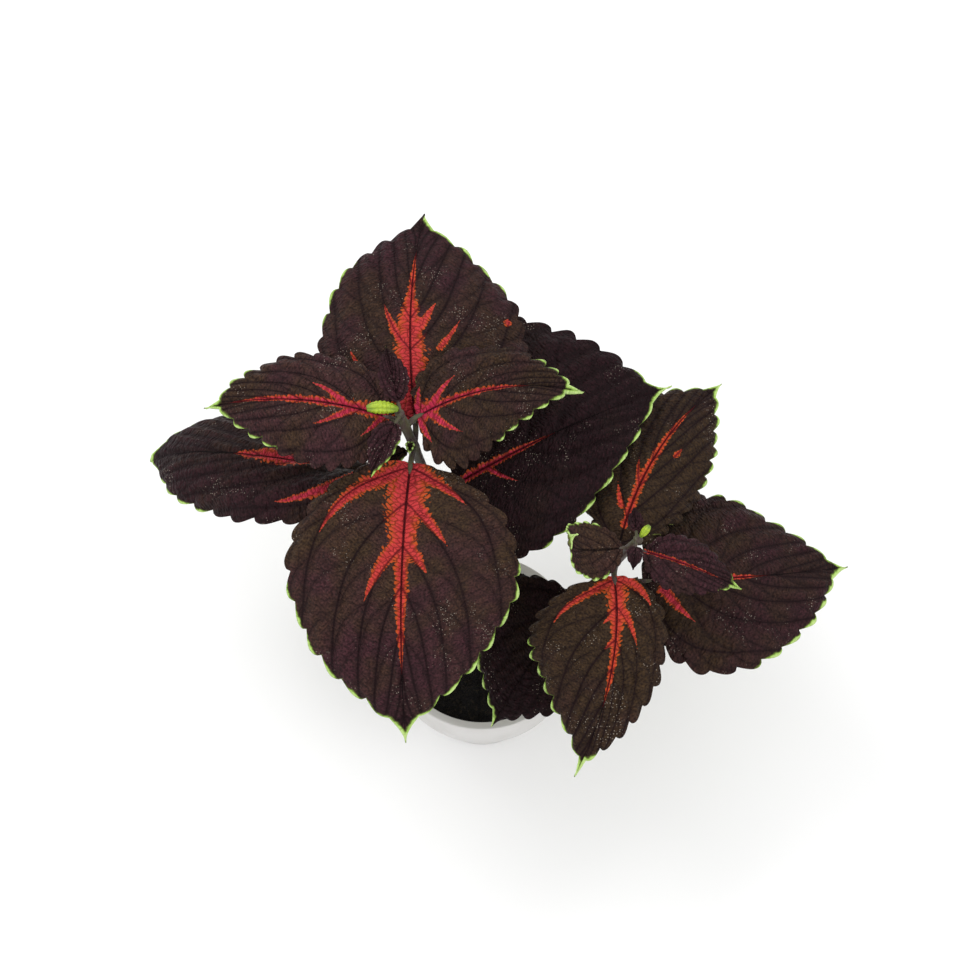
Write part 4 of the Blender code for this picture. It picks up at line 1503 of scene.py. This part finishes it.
@dataclass
class Leaf:
    """One grown leaf: its blade, and the stalk that runs on under it as a rib."""

    shape: LeafShape
    base: np.ndarray
    start: np.ndarray
    stalk_foot: float = 1.2
    stalk_bend: float = 0.35
    rib_tip: float = 0.12
    rib_drop: float = 0.75
    rib_sink: float = 0.0009 / 0.13
    stalk_steps: int = 18
    rib_steps: int = 44
    sides: int = 14
    channel: float = 0.20

    def stalk_path(self, frames: list[np.ndarray]) -> tuple[np.ndarray, np.ndarray]:
        """Path and radii of the stalk, from inside the stem along under the blade to its tip.

        Args:
            frames: Frames along the blade's midrib.

        Returns:
            The path's points and its radii.
        """
        shape = self.shape
        out = shape.outward()
        points, tangents, _, normals = frames
        reach = np.linalg.norm(self.base - self.start) * self.stalk_bend
        handles = [self.start, self.start + out * reach, self.base - tangents[0] * reach, self.base]
        share = np.linspace(0, 1, self.stalk_steps, endpoint=False)[:, None]
        weights = [(1 - share) ** 3, 3 * share * (1 - share) ** 2, 3 * share**2 * (1 - share), share**3]
        stalk = sum(weight * handle for weight, handle in zip(weights, handles))
        stalk_radii = shape.stalk_radius * (self.stalk_foot + (1 - self.stalk_foot) * share[:, 0])
        picks = np.linspace(0, len(points) - 2, self.rib_steps).astype(int)
        taper = picks / (len(points) - 1)
        rib_radii = shape.stalk_radius * (1 - (1 - self.rib_tip) * taper**0.8)
        sink = rib_radii * self.rib_drop + self.rib_sink * shape.length
        rib = points[picks] - normals[picks] * (sink * smooth_step(taper, 0.0, 0.06))[:, None]
        return np.vstack([stalk, rib]), np.concatenate([stalk_radii, rib_radii])

    def stalk(self, blade: Blade, skin: Material) -> Piece:
        """Model the stalk and rib, with a channel along the top.

        Args:
            blade: The blade that the rib runs under.
            skin: Finish of the stalk.

        Returns:
            The stalk.
        """
        path, radii = self.stalk_path(blade.frames())
        angles = 2 * np.pi * np.arange(self.sides) / self.sides
        section = 1 - self.channel * np.exp(-(((angles - np.pi / 2) / 0.5) ** 2))
        across = np.cross(path[1] - path[0], [0.0, 0.0, 1.0])
        piece = swept_tube(self.shape.name + "_stalk", path, radii, section, across)
        piece.data.materials.append(skin)
        bpy.ops.object.shade_smooth()
        return piece

    def build(self, face: Material, underside: Material, skin: Material, **fineness: float) -> list[Piece]:
        """Model the leaf's two bodies.

        Args:
            face: Finish of the blade's upper face.
            underside: Finish of its under face.
            skin: Finish of the stalk.
            **fineness: Mesh sizes of the blade, where they aren't the usual ones.

        Returns:
            The blade and the stalk.
        """
        blade = Blade(self.shape, self.base, **fineness)
        return [blade.build(face, underside), self.stalk(blade, skin)]


@dataclass
class Foliage:
    """All grown leaves of the plant."""

    leaves: tuple[LeafShape, ...] = LEAVES

    def build(self, face: Material, underside: Material, skin: Material) -> None:
        """Model every grown leaf and let it stand for its node.

        Args:
            face: Finish of the blades' upper faces.
            underside: Finish of their under faces.
            skin: Finish of the stalks.
        """
        for shape in self.leaves:
            start = STEMS[shape.shoot].point(shape.share)
            leaf = Leaf(shape, start + shape.petiole * shape.outward(), start)
            piece = join("coleus_" + shape.name, leaf.build(face, underside, skin))
            install(piece, Slot.BLADE, shape.name)


@dataclass
class Crown:
    """Young growth on one shoot: a small knot with two young leaves, and the folded bud over it."""

    stem: Stem
    azimuth: float
    pitch: float
    length: float
    radius: float
    knot_radius: float = 0.0026
    knot_height: float = 0.0030
    knot_swell: tuple = ((0.0, 0.75), (0.35, 1.0), (0.75, 0.95), (1.0, 0.6))
    bud_arch: float = 0.3
    bud_seat: float = 0.45
    bud_rings: int = 44
    bud_sides: int = 40
    bud_folds: int = 5
    fold_depth: float = 0.22
    painted_fold_shade: float = 2.2
    ripple: float = 0.07
    ripple_turns: float = 46.0

    def knot(self, skin: Material) -> Piece:
        """Model the knot that closes the stem.

        Args:
            skin: Finish of the knot.

        Returns:
            The knot.
        """
        run = self.stem.crown_run()
        shares = np.linspace(0, 1, 16)
        swell = np.interp(shares, *np.array(self.knot_swell).T)
        path = self.stem.point(1.0) + np.outer(GAP + shares * self.knot_height, run)
        across = np.cross(run, [0.0, 1.0, 0.0])
        piece = swept_tube("knot_" + self.stem.shoot.value, path, self.knot_radius * swell, np.ones(20), across)
        piece.data.materials.append(skin)
        bpy.ops.object.shade_smooth()
        return piece

    def young(self, face: Material, underside: Material, skin: Material) -> Piece:
        """Model the knot, its young leaves and any tiny leaf just under it as one piece.

        Args:
            face: Finish of the blades' upper faces.
            underside: Finish of their under faces.
            skin: Finish of the knot and the stalks.

        Returns:
            The joined piece.
        """
        middle = self.stem.point(1.0) + np.array([0, 0, GAP + self.knot_height / 2])
        pieces = []
        for shape in YOUNG_LEAVES:
            if shape.shoot is self.stem.shoot:
                base = middle + shape.outward() * (self.knot_radius + shape.petiole)
                leaf = Leaf(shape, base, middle + shape.outward() * self.knot_radius / 2)
                pieces += leaf.build(face, underside, skin, rows_per_tooth=10, column_step=0.0005)
        for shape in TINY_LEAVES:
            if shape.shoot is self.stem.shoot:
                start = self.stem.point(shape.share)
                base = start + shape.outward() * (self.stem.radius(shape.share) + shape.petiole)
                leaf = Leaf(shape, base, start)
                pieces += leaf.build(face, underside, skin, rows_per_tooth=10, column_step=0.0006)
        pieces.append(self.knot(skin))
        return join("coleus_young_leaves_" + self.stem.shoot.value, pieces)

    def bud(self, skin: Material) -> Piece:
        """Model the folded bud of unopened leaves.

        Args:
            skin: Finish of the bud.

        Returns:
            The bud.
        """
        run = self.stem.crown_run()
        start = self.stem.point(1.0) + run * (2 * GAP + self.knot_height + self.radius * self.bud_seat)
        lean = heading(math.radians(self.azimuth), math.radians(self.pitch))
        shares = np.linspace(0, 1, self.bud_rings)
        arch = np.outer(self.bud_arch * shares * (1 - shares), run)
        path = start + self.length * (arch + np.outer(shares, lean))
        swell = self.radius * (0.2 + 0.8 * np.sin(np.pi * (0.06 + 0.86 * shares)) ** 0.8)
        angles = 2 * np.pi * np.arange(self.bud_sides) / self.bud_sides
        crease = np.abs(np.cos(self.bud_folds * angles / 2)) ** 6
        name, section = "coleus_bud_" + self.stem.shoot.value, 1 - self.fold_depth * crease
        piece = swept_tube(name, path, swell, section, np.cross(run, [0.0, 1.0, 0.0]))
        piece.data.materials.append(skin)
        self.pleat(piece, path, lean)
        bpy.ops.object.shade_smooth()
        return piece

    def pleat(self, piece: Piece, path: np.ndarray, lean: np.ndarray) -> None:
        """Mark how deep in a fold each point of the bud lies, which sets the painted shade there, and crinkle
        its folds.

        Args:
            piece: The bud.
            path: Points along the bud's middle.
            lean: Unit vector that the bud points along.
        """
        places = np.array([vertex.co for vertex in piece.data.vertices])
        along = (places - path[0]) @ lean / self.length
        middle = path[np.clip((along * (len(path) - 1)).round().astype(int), 0, len(path) - 1)]
        away = np.linalg.norm(places - middle, axis=1)
        ripple = 1 + self.ripple * np.sin(along * self.ripple_turns) * np.sin(np.pi * np.clip(along, 0, 1))
        crinkled = middle + (places - middle) * ripple[:, None]
        piece.data.vertices.foreach_set("co", crinkled.reshape(-1).astype(np.float32))
        fold = piece.data.attributes.new("fold", "FLOAT", "POINT")
        depth = np.clip(1 - away / self.radius, 0, 1) * self.painted_fold_shade
        fold.data.foreach_set("value", depth.astype(np.float32))
        piece.data.update()


CROWNS = {
    Shoot.MAIN: Crown(STEMS[Shoot.MAIN], azimuth=186, pitch=14, length=0.016, radius=0.0034),
    Shoot.SIDE: Crown(STEMS[Shoot.SIDE], azimuth=40, pitch=45, length=0.008, radius=0.0020),
}


@dataclass
class Pot:
    """Moulded pot: tapered wall, sloped lip, hanging skirt, ring foot, middle pad and drain holes."""

    height: float = 0.080
    rim_radius: float = 0.0525
    collar_height: float = 0.028
    collar_draft: float = 0.0022
    skirt: float = 0.0016
    lip_width: float = 0.0045
    lip_drop: float = 0.0012
    wall: float = 0.0018
    foot_radius: float = 0.033
    floor_rise: float = 0.002
    floor_thickness: float = 0.002
    rim_chamfer: float = 0.0006
    foot_chamfer: float = 0.001
    foot_width: float = 0.004
    pad_radius: float = 0.010
    drain_radius: float = 0.0035
    drain_ring: float = 0.0195
    drain_count: int = 6
    drain_sides: int = 32
    steps: int = 128
    edge_round: float = 0.0003

    def wall_radius(self, height: float) -> float:
        """Outer radius of the tapered wall at a height."""
        top = self.rim_radius - self.lip_width + self.wall
        return self.foot_radius + (top - self.foot_radius) * height / self.height

    def profile(self) -> list[tuple[float, float]]:
        """Radii and heights of the pot's half section, from the floor's top over the rim to its underside.

        Returns:
            Pairs of a radius and a height, in metres.
        """
        lip, skirt_foot = self.height - self.lip_drop, self.height - self.collar_height
        under, top = self.height - 2 * self.skirt, self.floor_rise + self.floor_thickness
        half_way = (lip + top) / 2
        return [
            (POLE, top),
            (self.wall_radius(top) - self.wall - self.foot_chamfer, top),
            (self.wall_radius(top + self.foot_chamfer) - self.wall, top + self.foot_chamfer),
            (self.wall_radius(half_way) - self.wall, half_way),
            (self.wall_radius(lip) - self.wall, lip),
            (self.rim_radius - self.rim_chamfer, self.height),
            (self.rim_radius, self.height - self.rim_chamfer),
            (self.rim_radius - self.collar_draft / 2, self.height - self.collar_height / 2),
            (self.rim_radius - self.collar_draft, skirt_foot),
            (self.rim_radius - self.collar_draft - self.skirt, skirt_foot),
            (self.rim_radius - self.skirt, under),
            (self.wall_radius(under), under),
            (self.wall_radius(half_way), half_way),
            (self.wall_radius(self.foot_chamfer), self.foot_chamfer),
            (self.foot_radius - self.foot_chamfer, 0.0),
            (self.foot_radius - self.foot_width, 0.0),
            (self.foot_radius - self.foot_width - self.floor_rise / 2, self.floor_rise),
            (self.pad_radius + self.floor_rise / 2, self.floor_rise),
            (self.pad_radius, 0.0),
            (POLE, 0.0),
        ]

    def turned(self) -> Piece:
        """Draw the profile out from a ring, by extruding and scaling it step by step.

        Returns:
            The pot without its drain holes.
        """
        profile = self.profile()
        radius, level = profile[0]
        deselect_all()
        bpy.ops.mesh.primitive_circle_add(vertices=self.steps, radius=radius, location=(0, 0, level))
        bpy.ops.object.transform_apply(location=True)
        piece = bpy.context.object
        bpy.ops.object.mode_set(mode="EDIT")
        bpy.ops.mesh.select_all(action="SELECT")
        for next_radius, next_level in profile[1:]:
            bpy.ops.mesh.extrude_region_move(TRANSFORM_OT_translate={"value": (0, 0, next_level - level)})
            share = next_radius / radius
            bpy.ops.transform.resize(value=(share, share, 1), center_override=(0, 0, next_level))
            radius, level = next_radius, next_level
        bpy.ops.object.mode_set(mode="OBJECT")
        weld(piece)
        return piece

    def drill(self, piece: Piece) -> None:
        """Cut the drain holes through the floor.

        Args:
            piece: The pot.
        """
        drains = bpy.data.collections.new("drains")
        bpy.context.scene.collection.children.link(drains)
        for index in range(self.drain_count):
            angle = 2 * math.pi * index / self.drain_count
            x, y = self.drain_ring * math.cos(angle), self.drain_ring * math.sin(angle)
            deselect_all()
            bpy.ops.mesh.primitive_cylinder_add(
                vertices=self.drain_sides, radius=self.drain_radius,
                depth=4 * (self.floor_rise + self.floor_thickness), location=(x, y, self.floor_rise))
            tool = bpy.context.object
            for old in list(tool.users_collection):
                old.objects.unlink(tool)
            drains.objects.link(tool)
        finish_with(piece, "BOOLEAN", operation="DIFFERENCE", operand_type="COLLECTION", collection=drains)
        for tool in list(drains.objects):
            bpy.data.objects.remove(tool)
        bpy.data.collections.remove(drains)

    def build(self, plastic: Material) -> Piece:
        """Model the pot.

        Args:
            plastic: Its finish.

        Returns:
            The finished piece.
        """
        piece = self.turned()
        finish_with(
            piece, "BEVEL", width=self.edge_round, segments=2, limit_method="ANGLE",
            angle_limit=math.radians(25))
        self.drill(piece)
        piece.name = "coleus_pot"
        piece.data.name = "coleus_pot"
        places = np.array([vertex.co for vertex in piece.data.vertices])
        wall = np.array([self.wall_radius(z) for z in places[:, 2]])
        inside = np.hypot(places[:, 0], places[:, 1]) < wall - self.wall / 2
        attribute = piece.data.attributes.new("inside", "FLOAT", "POINT")
        attribute.data.foreach_set("value", inside.astype(np.float32))
        piece.data.materials.clear()
        piece.data.materials.append(plastic)
        take_up(piece)
        bpy.ops.object.shade_smooth_by_angle(angle=math.radians(30))
        install(piece, Slot.POT, "pot")
        return piece


@dataclass
class Soil:
    """Potting soil that fills the pot, with crumbs on its lumpy top."""

    pot: Pot
    level: float = 0.067
    lumps: float = 0.0022
    coarse_grain: float = 70.0
    fine_grain: float = 190.0
    crumb_grain: float = 600.0
    rings: int = 56
    steps: int = 144
    crumb_count: int = 420
    crumb_size: float = 0.0011
    crumb_roughness: float = 0.45

    def height(self, x: float, y: float, reach: float) -> float:
        """Height of the lumpy top, level at its edge.

        Args:
            x: Place across the pot.
            y: Place along the pot.
            reach: Share of the way from the middle to the edge.

        Returns:
            The height, in metres.
        """
        coarse = noise.noise((x * self.coarse_grain, y * self.coarse_grain, 0.0))
        fine = noise.noise((x * self.fine_grain, y * self.fine_grain, 0.0))
        crumbs = noise.noise((x * self.crumb_grain, y * self.crumb_grain, 3.0))
        return self.level + self.lumps * (coarse + fine / 2 + crumbs / 4) * (1 - reach**6)

    def bed(self) -> Piece:
        """Model the body of the soil.

        Returns:
            The body, closed.
        """
        pot = self.pot
        bottom = pot.floor_rise + pot.floor_thickness + GAP
        low_edge = pot.wall_radius(bottom + pot.foot_chamfer) - pot.wall - 2 * GAP
        high_edge = pot.wall_radius(self.level) - pot.wall - GAP
        angles = 2 * np.pi * np.arange(self.steps + 1) / self.steps
        rows = []
        chamfer = pot.foot_chamfer
        for radius, level in ((0.0, bottom), (low_edge - chamfer, bottom), (low_edge, bottom + chamfer)):
            rows.append([(radius * math.cos(a), radius * math.sin(a), level) for a in angles])
        for index in range(self.rings + 1):
            reach = 1 - index / self.rings
            ring = [(high_edge * reach * math.cos(a), high_edge * reach * math.sin(a)) for a in angles]
            rows.append([(x, y, self.height(x, y, reach)) for x, y in ring])
        piece = formed_grid("soil_bed", np.array(rows))
        weld(piece)
        return piece

    def crumbs(self) -> list[Piece]:
        """Model one crumb, and lay copies of it over the top at uneven sizes and turns.

        Returns:
            The crumbs.
        """
        random = np.random.default_rng(SEED)
        deselect_all()
        bpy.ops.mesh.primitive_ico_sphere_add(subdivisions=1, radius=1.0)
        model = bpy.context.object
        for vertex in model.data.vertices:
            vertex.co *= 1 + self.crumb_roughness * noise.noise(vertex.co * 1.7)
        reach = self.pot.wall_radius(self.level) - self.pot.wall - 3 * self.crumb_size
        pieces = []
        for index in range(self.crumb_count):
            radius = reach * math.sqrt((index + 0.5) / self.crumb_count)
            angle = index * GOLDEN_ANGLE + random.uniform(-0.4, 0.4)
            x, y = radius * math.cos(angle), radius * math.sin(angle)
            size = self.crumb_size * random.uniform(0.35, 1.3)
            place = Matrix.Translation((x, y, self.height(x, y, radius / reach) + size * 0.3))
            spin = Matrix.Rotation(random.uniform(0, FULL_TURN), 4, "Z")
            turn = spin @ Matrix.Rotation(random.uniform(0, FULL_TURN), 4, "X")
            deep, tall = size * random.uniform(0.5, 0.9), size * random.uniform(0.5, 0.9)
            copy = bpy.data.objects.new("crumb", model.data.copy())
            bpy.context.scene.collection.objects.link(copy)
            copy.data.transform(place @ turn @ Matrix.Diagonal((size, deep, tall, 1.0)))
            pieces.append(copy)
        bpy.data.objects.remove(model)
        return pieces

    def build(self, finish: Material) -> Piece:
        """Model the soil.

        Args:
            finish: Its finish.

        Returns:
            The finished piece.
        """
        piece = join("coleus_soil", [self.bed(), *self.crumbs()])
        piece.data.materials.clear()
        piece.data.materials.append(finish)
        take_up(piece)
        bpy.ops.object.shade_smooth()
        install(piece, Slot.SOIL, "soil")
        return piece


@dataclass
class Studio:
    """Pale floor, soft lights, and the camera at the photograph's angle."""

    floor_size: float = 6.0
    floor_colour: tuple = (0.94, 0.94, 0.94, 1.0)
    sky_strength: float = 1.06
    key_power: float = 6.0
    fill_power: float = 3.0
    camera_place: tuple = (0.004378, -0.457001, 1.208553)
    camera_tilt: float = 26.0
    camera_lens: float = 80.0
    sensor_width: float = 36.0
    aim: tuple = (0.0, 0.03, 0.12)

    def floor(self) -> None:
        """Lay the floor."""
        deselect_all()
        bpy.ops.mesh.primitive_grid_add(x_subdivisions=8, y_subdivisions=8, size=self.floor_size)
        floor = bpy.context.object
        floor.name = "studio_floor"
        graph = Graph("studio_floor_paper")
        soft = graph.span(graph.clouds(graph.place(), 30.0), 0.2, 0.8, 0.70, 0.76)
        graph.principled(Base_Color=self.floor_colour, Roughness=soft)
        floor.data.materials.append(graph.material)

    def light(self, name: str, place: tuple, size: float, power: float) -> None:
        """Hang one square soft light that faces the plant.

        Args:
            name: Name of the light.
            place: Where it hangs.
            size: Length of its side.
            power: Its power, in watts.
        """
        data = bpy.data.lights.new(name, "AREA")
        data.shape = "SQUARE"
        data.size = size
        data.energy = power
        lamp = bpy.data.objects.new(name, data)
        bpy.context.scene.collection.objects.link(lamp)
        lamp.location = place
        lamp.rotation_euler = (Vector(self.aim) - Vector(place)).to_track_quat("-Z", "Y").to_euler()

    def camera(self) -> None:
        """Set the camera."""
        data = bpy.data.cameras.new("studio_camera")
        data.lens = self.camera_lens
        data.sensor_width = self.sensor_width
        camera = bpy.data.objects.new("studio_camera", data)
        bpy.context.scene.collection.objects.link(camera)
        camera.location = self.camera_place
        camera.rotation_euler = (math.radians(self.camera_tilt), 0.0, 0.0)
        bpy.context.scene.camera = camera

    def build(self) -> None:
        """Set the studio up."""
        world = bpy.data.worlds.new("studio_air")
        world.use_nodes = True
        air = world.node_tree.nodes["Background"]
        air.inputs["Color"].default_value = (1.0, 1.0, 1.0, 1.0)
        air.inputs["Strength"].default_value = self.sky_strength
        bpy.context.scene.world = world
        bpy.context.scene.view_settings.view_transform = "Standard"
        self.floor()
        self.light("key_light", (-0.7, 0.5, 1.5), 0.7, self.key_power)
        self.light("fill_light", (0.9, -0.6, 1.3), 1.0, self.fill_power)
        self.camera()


def install(piece: Piece, slot: Slot, *nodes: str) -> None:
    """Fix a piece to the plant's one body and let it stand for its nodes.

    Args:
        piece: The finished piece.
        slot: Not used.
        *nodes: The nodes of the frame that it stands for.
    """
    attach(piece, "root")
    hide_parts(*nodes)
    LOG.info("%s: %d faces", piece.name, len(piece.data.polygons))


def main() -> None:
    """Build and dress the whole object."""
    logging.basicConfig(level=logging.INFO, format="%(message)s")
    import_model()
    Studio().build()
    blade_finish = BladeFinish()
    face, underside = blade_finish.face(), blade_finish.underside()
    skin, bud_skin = StemFinish().material(), BudFinish().material()
    pot = Pot()
    pot.build(PotFinish().material())
    Soil(pot).build(SoilFinish().material())
    for shoot, stem in STEMS.items():
        install(stem.build(skin), Slot.STEM, "stem_" + shoot.value)
    for shoot, crown in CROWNS.items():
        install(crown.young(face, underside, skin), Slot.YOUNG, "young_leaves_" + shoot.value)
        install(crown.bud(bud_skin), Slot.BUD, "bud_" + shoot.value)
    Foliage().build(face, underside, skin)
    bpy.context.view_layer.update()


if __name__ == "__main__":
    main()
